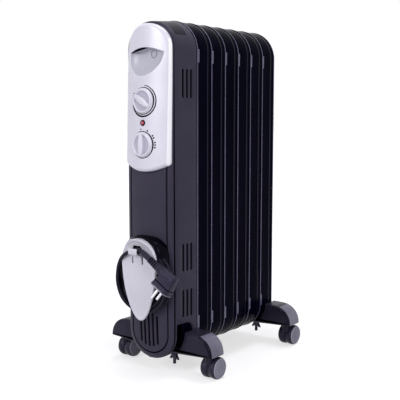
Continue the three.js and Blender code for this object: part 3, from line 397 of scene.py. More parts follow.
# Each lane of the winding: semi-axes of its ellipse and its depth, then the turn angle where the next one begins.
LANES = [((46, 47, -80.5), 150), ((51, 51, -83.65), -192), ((54, 51, -76.35), -530),
         ((62, 58, -76.35), -868), ((58, 58, -83.65), -1232), ((53, 58, -91.2), -1400)]
LEAD_TAIL = [(-51.6, -91.4, 194), (-47.5, -92.6, 203.5), (-41, -94.8, 212.5), (-33, -97, 219.5),
             (-24, -98.5, 225), (-14, -98.6, 229.6), (-4, -98.2, 233), (5, -99.4, 234.8), (13, -102.0, 234.4),
             (21, -103, 231.0), (30, -103, 225.6), (38, -103, 220.8)]


def smooth_path(points, step):
    """A centripetal curve through points, sampled about every step mm."""
    def between(p, q, start, end, t):
        return p * ((end - t) / (end - start)) + q * ((t - start) / (end - start))

    ends = [points[0] * 2 - points[1]] + points + [points[-1] * 2 - points[-2]]
    path = []
    for p0, p1, p2, p3 in zip(ends, ends[1:], ends[2:], ends[3:]):
        t1 = (p1 - p0).length ** 0.5
        t2 = t1 + (p2 - p1).length ** 0.5
        t3 = t2 + (p3 - p2).length ** 0.5
        for t in spread(t1, t2, max(2, round((p2 - p1).length / (step * MM))))[:-1]:
            a, b, c = between(p0, p1, 0, t1, t), between(p1, p2, t1, t2, t), between(p2, p3, t2, t3, t)
            path.append(between(between(a, b, 0, t2, t), between(b, c, t1, t3, t), t1, t2, t))
    return path + [points[-1]]


def lane_point(half_wide, half_high, y, degrees):
    angle = radians(degrees)
    return at(-1 + half_wide * cos(angle), y, 178 + half_high * sin(angle))


def lead_route():
    """Out of the gland, clockwise round the drum in two layers of two turns, then over the tongue to the plug."""
    blend, degrees, last, step = 60, 184, -1262, 12   # length of a change of lane, then angles of the route
    points = [GLAND_START.lerp(GLAND_END, 0.8), GLAND_END]
    while degrees > last:
        row = next(i for i, (_, end) in enumerate(LANES) if degrees > end)
        here, end = LANES[row]
        there = LANES[min(row + 1, len(LANES) - 1)][0]
        ease = eased((end + blend - degrees) / blend)
        points.append(lane_point(*[a + (b - a) * ease for a, b in zip(here, there)], degrees))
        degrees -= step
    return smooth_path(points + [at(*p) for p in LEAD_TAIL], 3.0)


def supply_lead(route):
    """A round tube on a smooth curve of one open spline."""
    data = bpy.data.curves.new("supply_lead", "CURVE")
    data.dimensions = "3D"
    data.bevel_depth = CORD / 2 * MM
    data.bevel_resolution = 6
    data.use_fill_caps = True
    spline = data.splines.new("POLY")
    spline.points.add(len(route) - 1)
    for target, point in zip(spline.points, route):
        target.co = (*point, 1.0)
    spline.use_smooth = True
    data.materials.append(RUBBER)
    obj = new_object("supply_lead", data)
    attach(obj, "radiator")
    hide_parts("cord_coil", "cord_tail")
    return obj


lead_line = lead_route()
lead = supply_lead(lead_line)


# ------------------------ radiator sections

SECTION_LOW, SECTION_HIGH = box_mm("section_3")
HALF_WIDTH = (SECTION_HIGH[0] - SECTION_LOW[0]) / 2
TOP, BOTTOM = SECTION_HIGH[2], SECTION_LOW[2]
OUTLINE = (HALF_WIDTH, TOP, BOTTOM, 57.0, 56.0)
CREASE = 0.69                                         # place of the crease, as a share of a section's depth
GLINTS = ((84, 108), (556, 584))                      # heights where the straight sides run into the round ends; pale painted highlights go there
RIM_PROFILE = [(0.0, 1.8), (0.02, 0.9), (0.35, 0.25), (0.9, 0.0), (1.5, 0.3), (1.9, 1.2)]   # inset, before the rear


def section_ring(inset, y):
    return ring_at(round_ended(*OUTLINE, inset), y)


def fade_band(z):
    """How far a height lies on the straight sides: 1 there, 0 on the round ends."""
    return eased(held((566 - z) / 16) * held((z - 140) / 16))


def band_ring(straight, curved, y):
    """A ring whose inset differs between the straight sides and the round ends."""
    points = []
    for (x0, z0), (x1, z1) in zip(round_ended(*OUTLINE, straight), round_ended(*OUTLINE, curved)):
        share = fade_band(z1)
        points.append((x1 + (x0 - x1) * share, z1 + (z0 - z1) * share))
    return ring_at(points, y)


def rim_rings(rear):
    return [section_ring(inset, rear - back) for inset, back in RIM_PROFILE]


def hidden_rings(front, rear):
    """Side wall of the first section: drawn in under the housing, with only its rolled rim outside."""
    wall = [(6.6, front + 0.1), (5.2, front), (4.8, front + 0.5), (4.7, rear - 4.6), (3.4, rear - 4.0),
            (1.2, rear - 3.2), (0.3, rear - 2.7)]
    return ([section_ring(*row) for row in wall] + rim_rings(rear)
            + [section_ring(5.6, rear - 6), section_ring(6.2, front + 6)])


def flange_rings(front, rear):
    """Closed wall of a pressed section's side: a shut front lip, a creased band and a rolled rim."""
    crease = front + CREASE * (rear - front)
    wall = [(5.2, 4.4, front + 0.1), (3.4, 2.4, front), (2.6, 1.5, front + 0.5), (2.3, 1.1, front + 1.4),
            (2.25, 0.95, front + 4), (2.1, 1.0, crease - 6), (1.72, 0.9, crease - 0.9), (1.5, 0.8, crease),
            (1.75, 0.95, crease + 0.9), (2.3, 1.3, rear - 5.6), (2.1, 1.3, rear - 4.2), (1.0, 0.8, rear - 3.4),
            (0.3, 0.25, rear - 2.7)]
    return ([band_ring(*row) for row in wall] + rim_rings(rear)
            + [section_ring(3.9, rear - 6), section_ring(4.4, front + 6)])


def stadium(half, middle, r):
    """A level slot with round ends."""
    return (arc(half - r, middle, r, r, QUARTER, -QUARTER, 10)
            + arc(r - half, middle, r, r, -QUARTER, -3 * QUARTER, 10))


def pillow(outline, y, depth):
    """A raised pressing whose rings shrink towards the outline's middle, closed by one flat face."""
    shoulder, steps = 4.0, 5
    spans = [(min(values), max(values)) for values in zip(*outline)]
    cx, cz = [(low + high) / 2 for low, high in spans]
    half_x, half_z = [(high - low) / 2 for low, high in spans]
    rings = []
    for angle in spread(0, QUARTER, steps):
        inset, lift = shoulder * (1 - cos(angle)), depth * sin(angle)
        rings.append([at(cx + (x - cx) * (1 - inset / half_x), y + lift, cz + (z - cz) * (1 - inset / half_z))
                      for x, z in outline])
    return flat_loft(rings, first=False)


def rear_pressings(middle):
    """Channels, headers and collars that stand out from the back of the last section."""
    parts = [pillow(slot_outline(x - 10, x + 10, 92, 574, steps=12), middle + 1.2, 5.2) for x in (-34, 0, 34)]
    collar = [(0, 19.6), (0.01, 20), (20, 20), (23.6, 19.4), (25.4, 17.8), (26, 15.1), (26, 4.6), (28.5, 2),
              (33, 0), (0, 0)]
    for z in (86, 580.2):
        parts.append(pillow(stadium(44, z, 12), middle + 1.2, 5.0))
        parts.append(turned(collar, at(0, middle, z), REARWARD, 56))
    return parts


def section_piece(name):
    """A pressed section: its wall, the sheet across it and, on the last one, the pressings of its back."""
    (_, front, _), (_, rear, _) = box_mm(name)
    middle, crease = (front + rear) / 2, front + CREASE * (rear - front)
    first, last = name == SECTIONS[0], name == SECTIONS[-1]
    wall = (hidden_rings if first else flange_rings)(front, rear)
    web = [section_ring(5.8 if first else 4.0, y) for y in (middle - 1.2, middle + 1.2)]
    shape = merge(loft(wall, closed=True), loft(web), *(rear_pressings(middle) if last else []))
    obj = piece("pressed_" + name, shape, [ENAMEL, ENAMEL_RIM_HIGHLIGHT, ENAMEL_CREASE_HIGHLIGHT, ENAMEL_PAINTED_GLINT],
                [name], sharp=50)

    # Painted highlight along each section's rolled rim.
    def rim(face, x, y, z):
        header = abs(x) < 30 and BOTTOM + 28 < z < TOP - 28
        return rear - 2.8 < y < rear + 0.2 and not header

    # Painted highlight along the crease.
    def crease_highlight(face, x, y, z):
        return abs(y - crease) < 0.8 and not first

    # Painted highlight: a pale sliver behind the rim at the turns.
    def glint(face, x, y, z):
        turn = any(low < z < high for low, high in GLINTS)
        return turn and front + 0.6 < y < front + 4 and face.normal.x ** 2 > 0.3 and not first

    paint(obj, rim, crease_highlight, glint)


for section_name in SECTIONS:
    section_piece(section_name)


# ------------------------ housing shell and front cover

SHELL_LOW, SHELL_HIGH = box_mm("housing_shell")
COVER_LOW, COVER_HIGH = box_mm("front_cover")
SHELL_FRONT, SHELL_REAR = SHELL_LOW[1], SHELL_HIGH[1]
NOSE_OUTLINE = (COVER_HIGH[0], COVER_HIGH[2], COVER_LOW[2], 48.0, 48.0)
FRONT_OUTLINE = (NOSE_OUTLINE[0] - 1.8,) + NOSE_OUTLINE[1:]
REAR_OUTLINE = (SHELL_HIGH[0], SHELL_HIGH[2], BOTTOM + 0.85, 57.0, 56.0)
INSET_START, INSET_END, INSET_LOW = -48, -20, 606     # the dark strip along the top of the shell
VENTS = [(y, z) for z in (522.6, 217.6, 134.2) for y in (-38, -28, -18)]     # middles of the slots in each side
COVER_PROFILE = [(2.0, 0.26), (0.3, 0.27), (0.0, 0.34), (0.5, 0.45), (1.4, 0.58), (2.8, 0.7), (4.6, 0.82),
                 (6.6, 0.91), (8.4, 0.965), (9.3, 0.985), (9.8, 1.0, 0.5), (10.1, 1.0, 2.1), (12.5, 1.0, 2.2),
                 (12.8, 1.0, 0.6), (13.2, 1.0, 0.1), (14.0,), (17,), (21,), (26,), (32,), (38,), (44,), (50,)]
COVER_INNER = [(4, 0.6, 2.4), (13, 1.0, 2.6), (32, 1.0, 2.2), (50, 1.0, 2.2)]


def shell_outline(y):
    """Sizes of the shell's outline at a depth, from the nose to the rear."""
    share = (y - SHELL_FRONT) / (SHELL_REAR - SHELL_FRONT)
    return [a + (b - a) * share for a, b in zip(NOSE_OUTLINE, REAR_OUTLINE)]


def vent(y, z, grow, low, high):
    """A prism through one side vent, or both: an upright slot grown by some mm."""
    outline = slot_outline(y - 2.4 - grow, y + 2.4 + grow, z - 25 - grow, z + 25 + grow)
    return prism(outline, low, high, "x")


def housing():
    """Shell behind the cover, with its side vents and the room that is cut out of it for the front foot."""
    wall = 1.5
    outer = [(0.9, SHELL_FRONT), (0.25, SHELL_FRONT + 0.25), (0.0, SHELL_FRONT + 0.9), (0.0, -48), (0.0, -34),
             (0.0, -20), (0.0, SHELL_REAR - 1.2), (0.15, SHELL_REAR - 0.4), (0.6, SHELL_REAR)]
    inner = [(wall, y) for y in (SHELL_REAR, -20, -40, SHELL_FRONT)]
    rings = [ring_at(round_ended(*shell_outline(y), inset), y) for inset, y in outer + inner]
    obj = piece("housing_skin", loft(rings, closed=True), [HOUSING, TOP_INSET],
                ["housing_shell"], sharp=40)
    arch = [(-54, 0), (-15, 0)] + arc(-30, 83.6, 15, 15, 0, QUARTER, 10) + [(-54, 98.6)]
    cutters = [vent(y, z, 0, -70, 70) for y, z in VENTS]
    cutters += [prism(arch, *ends, "x") for ends in ((-130, -33), (33, 130))]
    cutters.append(prism([(-31, 20), (31, 20), (31, 52), (-31, 52)], -44, -1.5))
    boolean(obj, merge(*cutters))
    bevel(obj, 0.45, 2, 50, 40)
    paint(obj, lambda face, x, y, z: z > INSET_LOW and INSET_START < y < INSET_END)
    # Painted shade: black sheets just inside each side wall, behind the vents.
    vent_shades = []
    for y, z in VENTS:
        half = shell_outline(y)[0]
        for ends in ((0.6 - half, 1.3 - half), (half - 1.3, half - 0.6)):
            vent_shades.append(vent(y, z, 0.1, *ends))
    piece("vent_shade", merge(*vent_shades), [SHADE_BLACK])


def cover_depth(x, z):
    """Face of the cover: crowned across, leaning and thinning towards its top."""
    half_wide, top, bottom = FRONT_OUTLINE[:3]
    along = held((z - (top + bottom) / 2) / ((top - bottom) / 2), -1.0)
    lean = 2.0 * (1 - along * along) - 1.2 * max(along, 0)
    crown = 5.5 * held(1 - (x / (half_wide - 10)) ** 2) * (1 - abs(along) ** 5)
    thin = 4.2 * held((z - 360) / 266)
    return SHELL_FRONT - 6.6 + thin - lean - crown


def cover_ring(inset, share=1.0, sink=0.0, outline=FRONT_OUTLINE):
    """A ring on the cover: share 0 lies at the seam and 1 on the crowned face."""
    return ring_at(round_ended(*outline, inset),
                   lambda x, z: SHELL_FRONT + (cover_depth(x, z) - SHELL_FRONT) * share + sink)


def cover():
    """Front cover with its vents and the window of the panel, with painted shade behind its lower slots, along its
    seam and in the groove round it.
    """
    seam = ring_at(round_ended(*FRONT_OUTLINE, 2.2), SHELL_FRONT - 0.12)
    face = loft([seam] + [cover_ring(*row) for row in COVER_PROFILE], caps=(False, True))
    verts, faces = loft([seam] + [cover_ring(*row) for row in COVER_INNER], caps=(False, True))
    back = verts, [tuple(reversed(f)) for f in faces]
    obj = piece("cover_face", merge(face, back), [HOUSING], ["front_cover"], sharp=32)
    openings = []
    for i in range(-2, 3):
        x, shorter = i * 9.7, 1.5 * i * i
        openings.append(slot_outline(x - 2.5, x + 2.5, 52 + shorter, 118 - shorter))
    openings.append([(-46, 536), (46, 536), (46, 592), (-46, 592)])
    boolean(obj, merge(*[prism(outline, -95, SHELL_FRONT + 4) for outline in openings]))
    bevel(obj, 0.4, 2, 55, 32)
    # Painted shade: a black sheet behind the lower slots.
    slot_shade = prism([(-24, 48), (24, 48), (24, 124), (-24, 124)], SHELL_FRONT - 2.6, SHELL_FRONT - 1.8)
    bevel(piece("cover_slot_shade", slot_shade, [SHADE_BLACK]), 0.3, 1)
    # Painted shade along the seam between the cover and the shell.
    seam_shade = [cover_ring(inset, share, -0.02, NOSE_OUTLINE)
              for inset, share in ((4.0, 0.0), (1.0, 0.0), (1.3, 0.2), (4.0, 0.2))]
    piece("cover_seam_shade", loft(seam_shade, closed=True), [SHADE_BLACK])
    # Painted shade in the groove round the cover's face.
    groove = [cover_ring(inset, 1.0, sink) for inset, sink in ((12.5, 2.5), (10.1, 2.5), (10.1, 1.7), (12.5, 1.7))]
    piece("cover_groove_shade", loft(groove, closed=True), [SHADE_BLACK])


housing()
cover()


# ------------------------ control panel

def middle_of(name):
    low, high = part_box(name)
    return (low + high) / 2


PANEL_LOW, PANEL_HIGH = box_mm("control_panel")
PANEL_HALF, PANEL_TOP, PANEL_BOTTOM = PANEL_HIGH[0] - 1.6, PANEL_HIGH[2], PANEL_LOW[2]
DIAL, SELECTOR, LAMP = [middle_of(name) for name in ("thermostat_knob", "selector_knob", "pilot_lens")]
KNOB_RADIUS = (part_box("thermostat_knob")[1].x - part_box("thermostat_knob")[0].x) / 2 / MM
GRIP_LIP = [(-37, 576.5), (0, 593), (40, 575.5)]      # controls of the finger recess's upper edge
GRIP_BOWL = [[(40, 575.5), (37, 552), (16, 535.8), (-7, 535.8)],
             [(-7, 535.8), (-24, 535.8), (-40, 552), (-37, 576.5)]]


def bezier(points, t):
    """The point at a share t of the curve that two or three controls and an end span, in any dimension."""
    while len(points) > 1:
        points = [[a + (b - a) * t for a, b in zip(p, q)] for p, q in zip(points, points[1:])]
    return tuple(points[0])


def panel_outline(inset):
    """Outline of the panel: a round top, straight sides, rounded corners and a sagging foot."""
    quarter, side, turn, foot = 26, 24, 6, 18         # steps in each
    half = PANEL_HALF - inset
    rise = 46.0 * half / PANEL_HALF
    spring = PANEL_TOP - inset - rise
    low = PANEL_BOTTOM + inset
    sag = 14.0 * (half / PANEL_HALF) ** 2
    corner = max(1.0, 6.0 - inset)
    end = low + sag * ((half - corner) / half) ** 2
    side_end = end + corner
    points = arc(0, spring, half, rise, QUARTER, 0, quarter)
    points += [(half, z) for z in spread(spring, side_end, side)[1:]]
    points += arc(half - corner, side_end, corner, corner, 0, -QUARTER, turn)[1:]
    points += [((half - corner) * k, low + sag * ((half - corner) / half * k) ** 2)
               for k in spread(1, 0, foot)[1:]]
    return mirrored_ring(points)


def panel_depth(x, z):
    """Face of the panel: crowned across, and leaning back towards its top."""
    return -69.4 + 0.037 * (z - PANEL_BOTTOM) - 12.5 * held(1 - (x / PANEL_HALF) ** 2)


def on_panel(points, sink):
    """A ring that follows the panel's face, sunk into it by some mm."""
    return ring_at(points, lambda x, z: panel_depth(x, z) + sink)


def circle(x, z, radius, sides):
    return arc(x, z, radius, radius, 0, tau, sides)[:-1]


def grip_cutters():
    """A bowl that deepens towards the lip, and the slot behind the lip."""
    steps, top, middle = 22, (-4.0, 578.0), panel_depth(0, 560)
    outline = [bezier(curve, i / steps) for curve in [GRIP_LIP] + GRIP_BOWL for i in range(steps)]
    rings = [ring_at(outline, -95), on_panel(outline, -0.5)]
    for share in spread(0, 1, 12)[1:]:
        shrink = 1 - share ** 1.6 * 0.96
        sink = 13.0 * sin(QUARTER * share)
        rings.append([at(top[0] + (x - top[0]) * shrink,
                         min(-57.8, panel_depth(x, z) * (1 - share) + middle * share + sink),
                         top[1] + (z - top[1]) * shrink) for x, z in outline])
    lip = outline[:17]
    swell = [3.2 * sin(a) + 0.4 for a in spread(0, pi, len(lip) - 1)]
    slit = [(x, z - 1.0) for x, z in lip] + [(x, z + rise) for (x, z), rise in zip(lip, swell)][::-1]
    return [flat_loft(rings), prism(slit, -68, -58.2)]


def hole(z, radius, depth, sides):
    """A cylinder from in front of the panel back to a depth in metres."""
    ends = [Vector((0, RIM_Y + y, z)) for y in (-0.12, depth)]
    return flat_loft([circle_round(end, REARWARD, radius * MM, sides) for end in ends])


def control_panel():
    """Silver panel with its finger recess and the holes behind the lamp and the dials."""
    rows = [(14, 14.0), (3.0, 10.5), (0.0, 10.0), (0.0, 4.6), (0.25, 3.9), (1.0, 2.9), (2.2, 1.7), (3.4, 0.75),
            (4.4, 0.25)] + [(inset, 0.0) for inset in (5.6, 7, 10, 14, 19, 24, 29, 34, 39, 44, 48)]
    rings = [on_panel(panel_outline(inset), sink) for inset, sink in rows]
    flat = [[Vector((p.x, min(p.y, RIM_Y - 56.9 * MM), p.z)) for p in ring] for ring in rings]
    obj = piece("fascia", loft(flat), [SILVER, SCOOP_SHADE, SILVER_BEVEL_HIGHLIGHT], ["control_panel"], sharp=28)
    holes = merge(hole(LAMP.z, 5.3, -0.062, 48), hole(DIAL.z, 6, -0.05, 32), hole(SELECTOR.z, 6, -0.05, 32))
    for cutter in grip_cutters() + [holes]:
        boolean(obj, cutter)
    bevel(obj, 0.35, 2, 50, 28)

    # Painted shade inside the finger recess.
    def recess(face, x, y, z):
        return 532 < z < 590 and abs(x) < 41 and y > panel_depth(x, z) + 0.5

    # Painted highlight on the side bevels.
    def edge(face, x, y, z):
        return abs(x) > PANEL_HALF - 4.6 and face.normal.y < -0.1 and abs(face.normal.x) > 0.3

    paint(obj, recess, edge)
    return obj


fascia = control_panel()


def control_face(centre):
    """The y in metres of the panel's face at the height of a control."""
    return RIM_Y + panel_depth(0.0, centre.z / MM) * MM


def boat(half_wide, half_long, end_half):
    """Outline of a grip: widest at its middle, with rounded ends."""
    reach = half_long - end_half
    half = [(end_half + (half_wide - end_half) * (1 - t * t), t * reach) for t in spread(-1, 1, 14)]
    half += arc(0, reach, end_half, end_half, 0, pi, 8)[1:-1]
    return half + [(-x, -z) for x, z in half]


def knob(name, centre, angle, body, node):
    """Shallow dial with a rolled rim, a dished face and a wide boat-shaped grip across it."""
    r = KNOB_RADIUS
    rim = r - 1.4
    profile = [(0, -1.2), (r - 0.6, -1.2), (r - 0.1, -0.6), (r, 0.4), (r - 0.2, 1.2), (r - 0.9, 1.7),
               (rim - 0.1, 2.4), (rim - 0.5, 3.9), (rim - 1.1, 4.6), (rim - 1.9, 4.9), (rim - 2.9, 4.8),
               (rim - 3.5, 4.3), (rim - 4.1, 3.2), (rim - 5.4, 2.2), (rim - 8, 1.7), (0, 1.5)]
    origin = Vector((centre.x, control_face(centre), centre.z))
    obj = piece(name, turned(profile, origin, FORWARD, 96), [SILVER, DISH_SHADE], [node], body=body)
    turn = Matrix.Rotation(angle, 3, "Y")
    grip = [[origin + turn @ Vector((x * MM, 0, z * MM)) + FORWARD * lift * MM
             for x, z in boat(5.6 - shrink, rim - 2.0 - shrink, 3.2 - shrink * 0.8)]
            for shrink, lift in ((0.0, 1.2), (0.0, 5.4), (0.3, 6.5), (0.9, 7.2), (1.8, 7.5))]
    boolean(obj, flat_loft(grip), "UNION")

    # Painted shade on the dished face.
    def dish(face, *_):
        x, y, z = (face.center - origin) / MM
        return y > -3.0 and hypot(x, z) < rim - 3.6 and abs(face.normal.y) > 0.5

    paint(obj, dish)
    finish_shading(obj, 35)
    # Painted shadow: a black ring on the panel round the dial's rim.
    shadow_ring = [on_panel(circle(0, centre.z / MM, reach, 96), sink)
           for reach, sink in ((r - 2.0, 1.6), (r + 1.3, 1.6), (r + 1.3, -0.12), (r - 2.0, -0.12))]
    piece(name + "_shadow_ring", loft(shadow_ring, closed=True), [SHADE_BLACK])


knob("thermostat_dial_cap", DIAL, radians(-59.0), "thermostat_dial", "thermostat_knob")
knob("selector_dial_cap", SELECTOR, 0.0, "selector_dial", "selector_knob")


def grip_shadow():
    """Painted shadow: a black crescent under the recess lip, thickest over the left half."""
    upper, lower = [], []
    for share in spread(0, 1, 24):
        x, z = bezier(GRIP_LIP, 0.02 + 0.6 * share)
        upper.append((x, z + 0.2))
        lower.append((x + 0.3, z - 3.9 * sin(pi * share ** 0.8) ** 0.8 - 0.05))
    outline = upper + lower[::-1]
    piece("grip_lip_shadow", flat_loft([on_panel(outline, sink) for sink in (1.1, 2.2)]), [SHADE_BLACK],
          sharp=40)


def grip_bead():
    """Raised oval bead laid on the surface of the hand grip."""
    middle_x, middle_z, half_wide, half_high, radius = 12.0, 573.5, 6.0, 6.8, 0.6
    mesh = fascia.data
    surface = BVHTree.FromPolygons([v.co for v in mesh.vertices], [list(p.vertices) for p in mesh.polygons])
    rings = []
    for angle in turns(48):
        ahead = at(middle_x + half_wide * cos(angle), -120, middle_z + half_high * sin(angle))
        spot = surface.ray_cast(ahead, REARWARD)[0]
        along = Vector((-half_wide * sin(angle), 0, half_high * cos(angle))).normalized()
        across = along.cross(REARWARD).normalized()
        rings.append([spot + (across * cos(t) + REARWARD * sin(t)) * radius * MM for t in turns(10)])
    piece("grip_bead", loft(rings, closed=True), [CAP], sharp=60)


grip_shadow()
grip_bead()


def ribbon(centre, radius, start, end, width_start, width_end, steps=60):
    """A printed arc round a dial, lying on the panel, that grows wider along its way. Angles in degrees."""
    rings = []
    for share in spread(0, 1, steps):
        angle = radians(start + (end - start) * share)
        half = (width_start + (width_end - width_start) * share) / 2
        edges = [(r * cos(angle), centre.z / MM + r * sin(angle)) for r in (radius - half, radius + half)]
        rings.append(on_panel(edges, -0.09) + on_panel(edges[::-1], 0.2))
    return flat_loft(rings)


def dot(x, z):
    spots = circle(x, z, 1.6, 20)
    return loft([on_panel(spots, 0.2), on_panel(spots, -0.08)])


def dial_marks():
    """Widening arc and two ticks round the thermostat; a dash and one, two and three dots round the selector."""
    arc = ribbon(DIAL, 26.8, 84, -166, 1.4, 3.6)
    ticks = [ribbon(DIAL, 27.6, angle, angle + 4, 3.2, 3.2, 4) for angle in (149, 159)]
    off = ribbon(SELECTOR, 27.2, 97.5, 102.5, 2.2, 2.2, 6)
    dots = []
    for angle, count in ((67, 1), (32, 2), (0, 3)):
        for i in range(count):
            a = radians(angle + (i - (count - 1) / 2) * 9.5)
            dots.append(dot(26.6 * cos(a), SELECTOR.z / MM + 26.6 * sin(a)))
    for name, marks in (("thermostat_print", [arc] + ticks), ("selector_print", [off] + dots)):
        piece(name, merge(*marks), [INK], sharp=30)


def pilot_light():
    face = Vector((0, control_face(LAMP), LAMP.z))
    bezel = [(0, -14), (5.1, -14), (5.1, 0), (5.2, 1.0), (4.9, 1.5), (4.4, 1.6), (4.0, 1.2), (3.9, -2), (0, -2)]
    dome = [(0, -2.2), (3.8, -2.2), (3.8, 0.6), (3.6, 1.3), (3.1, 2.1), (2.4, 2.7), (1.5, 3.1), (0.7, 3.3), (0, 3.35)]
    piece("lamp_bezel", turned(bezel, face, FORWARD, 56), [BLACK], ["pilot_lamp"])
    piece("lamp_dome", turned(dome, face, FORWARD, 48), [LENS], ["pilot_lens"])


def spindle(node, centre, body):
    """Control shaft with a flat on it, from the control body into the dial."""
    face = control_face(centre)
    rear = (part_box(node)[1].y - face) / MM
    outline = [(x, min(z, 1.9)) for x, z in circle(0, 0, 3, 40)]
    rings = [[Vector((x * k * MM, face + y * MM, centre.z + z * k * MM)) for x, z in outline]
             for y, k in ((rear, 0.85), (rear - 0.5, 1.0), (-0.3, 1.0), (-0.9, 0.85))]
    piece(node + "_shaft", flat_loft(rings), [STEEL], [node], sharp=40, body=body)


dial_marks()
pilot_light()
spindle("thermostat_spindle", DIAL, "thermostat_dial")
spindle("selector_spindle", SELECTOR, "selector_dial")


# ------------------------ cord wrap: barrel, plate and tongue

PLATE_LOW, PLATE_HIGH = box_mm("wrap_plate")
PLATE_Y, PLATE_RADIUS, PLATE_TIP = PLATE_HIGH[1] - 5.5, PLATE_HIGH[0], PLATE_LOW[2]
WRAP_Z = 213.0                                        # height of the middle of the plate's round top
WINDOW_LEFT, WINDOW_RIGHT = -13.9, 8.8


def egg(inset, tip=PLATE_TIP):
    """Round top and sides that close on a low tip, in mm, as mirrored (x, z) points."""
    quarter, side = 20, 26                            # steps in a quarter of the top and along a side
    r = PLATE_RADIUS - inset
    top = arc(0, WRAP_Z, r, r, QUARTER, 0, quarter)[:-1]
    pull = [(r, WRAP_Z), (r, WRAP_Z - 43), (22 * r / PLATE_RADIUS, tip + inset), (0.0, tip + inset)]
    return mirrored_ring(top + [bezier(pull, t) for t in spread(0, 1, side)])


def plate_bow(z, sink):
    """Face of the plate: it leans back towards the tip, and its top flares forward."""
    back = 3 * max(0.0, (160 - z) / (160 - PLATE_TIP))
    return PLATE_Y + back - 8 * max(0.0, 2 * (z - WRAP_Z) / PLATE_RADIUS - 1) ** 1.5 + sink


def wrap_plate():
    """Silver plate in front of the winding, with the window and slits round its tongue."""
    def rings(*rows):
        return [ring_at(egg(inset), lambda x, z: plate_bow(z, sink)) for inset, sink in rows]
    edge = [ring_at(egg(inset), PLATE_Y + sink) for inset, sink in ((2.2, 5.2), (1.2, 5.5), (0.3, 5.0))]
    shape = loft(rings((9, 3.4), (4, 3.2), (2.6, 4.0)) + edge
                 + rings((0.0, 3.2), (0.0, 1.7), (0.35, 0.75), (1.1, 0.15), (2.0, 0.0), (4.2, 0.1), (5.0, 0.35),
                         (5.5, 0.95), (6.4, 1.1), (9, 1.15)))
    obj = piece("cord_plate", shape, [PLATE], ["wrap_plate"], sharp=40)
    left, right = WINDOW_LEFT, WINDOW_RIGHT
    boolean(obj, prism([(left, 226), (right, 226), (right, 236), (right - 4, 240.5), (left + 4, 240.5),
                        (left, 236)], PLATE_Y - 12, PLATE_Y + 7))
    for x in (left - 0.2, right + 0.2):
        boolean(obj, prism(slot_outline(x - 1.5, x + 1.5, 207, 230), PLATE_Y - 6, PLATE_Y + 7))
    bevel(obj, 0.35, 2, 45, 40)


def tongue():
    """Spring tongue that leaves the plate, bows out over the lead and ends below the window's top."""
    middle, out, half_thick = PLATE_Y + 1.6, PLATE_Y - 11.7, 0.9
    line = [(middle, 211.5), (middle - 0.2, 217), (middle - 1.6, 221.5), (middle - 5.5, 224.0),
            (out + 1.6, 225.6), (out + 0.2, 228), (out, 231), (out + 0.3, 234), (out + 1.2, 236.3)]
    sides = ([], [])
    for i, (y, z) in enumerate(line):
        ahead, behind = line[min(i + 1, len(line) - 1)], line[max(i - 1, 0)]
        dy, dz = ahead[0] - behind[0], ahead[1] - behind[1]
        size = hypot(dy, dz)
        for store, side in zip(sides, (half_thick, -half_thick)):
            store.append((y - dz / size * side, z + dy / size * side))
    shape = prism(sides[0] + sides[1][::-1], WINDOW_LEFT + 1.3, WINDOW_RIGHT - 1.3, "x")
    bevel(piece("cord_tongue", shape, [PLATE]), 0.6, 3, 40, 50)


def half_round(radius):
    """Full-shouldered top on upright sides with a flat, filleted foot, as mirrored (x, z) points."""
    centre, low, fillet, power = 210, 196, 6, 2 / 2.9
    top = [(radius * sin(a) ** power, centre + radius * cos(a) ** power)
           for a in spread(0, QUARTER, 24)[:-1]] + [(radius, centre)]
    return mirrored_ring(top + arc(radius - fillet, low + fillet, fillet, fillet, 0, -QUARTER, 6) + [(0.0, low)])


def wrap_barrel():
    """Glossy hood above the winding and the narrow core that the lead is wound on."""
    rows = [(47.0, -60), (46.6, -66), (46.0, -74), (45.0, -81), (42.6, -85.6), (39.5, -88.4), (34, -89.8)]
    hood = loft([ring_at(half_round(radius), y) for radius, y in rows])
    core = loft([ring_at(egg(inset, 140), y) for inset, y in ((21, -60), (23, -66), (24, -78), (23, -89.5))])
    piece("wrap_barrel", merge(hood, core), [GLOSS_BLACK], ["wrap_drum"], sharp=50)


wrap_plate()
tongue()
wrap_barrel()


# ------------------------ gland, plug and pins on the lead

def oval_loft(spots, u, v, rows):
    """A solid through outlines of half sizes (a, b) in mm; the higher the power, the squarer the outline."""
    rings = []
    for spot, (a, b, power) in zip(spots, rows):
        ring = []
        for c, s in circle(0, 0, 1, 40):
            reach = (abs(c) ** power + abs(s) ** power) ** (-1 / power)
            ring.append(spot + u * (a * reach * c * MM) + v * (b * reach * s * MM))
        rings.append(ring)
    return flat_loft(rings)


def cord_gland():
    """Ribbed sleeve that the lead leaves the heater through."""
    length = (GLAND_END - GLAND_START).length / MM
    profile = [(0, -6), (6.4, -6), (6.4, 0.5), (5.6, 1.6)]
    for i in range(6):
        low, size = 3.5 + i * 4.6, 5.0 - 0.13 * i
        profile += [(size, low), (size, low + 2.4), (size - 0.9, low + 2.9), (size - 0.9, low + 4.1)]
    profile += [(4.2, length - 1.2), (3.9, length), (0, length)]
    return piece("lead_gland", turned(profile, GLAND_START, GLAND_END - GLAND_START, 32), [RUBBER],
                 ["cord_gland"])


def plug_point(distance, drop=0.0, side=0.0):
    """A point by its distance in mm along the plug, along its pins and from pin to pin."""
    return RELIEF_START + (PLUG_AXIS * distance + PIN_AXIS * drop + PAIR_AXIS * side) * MM


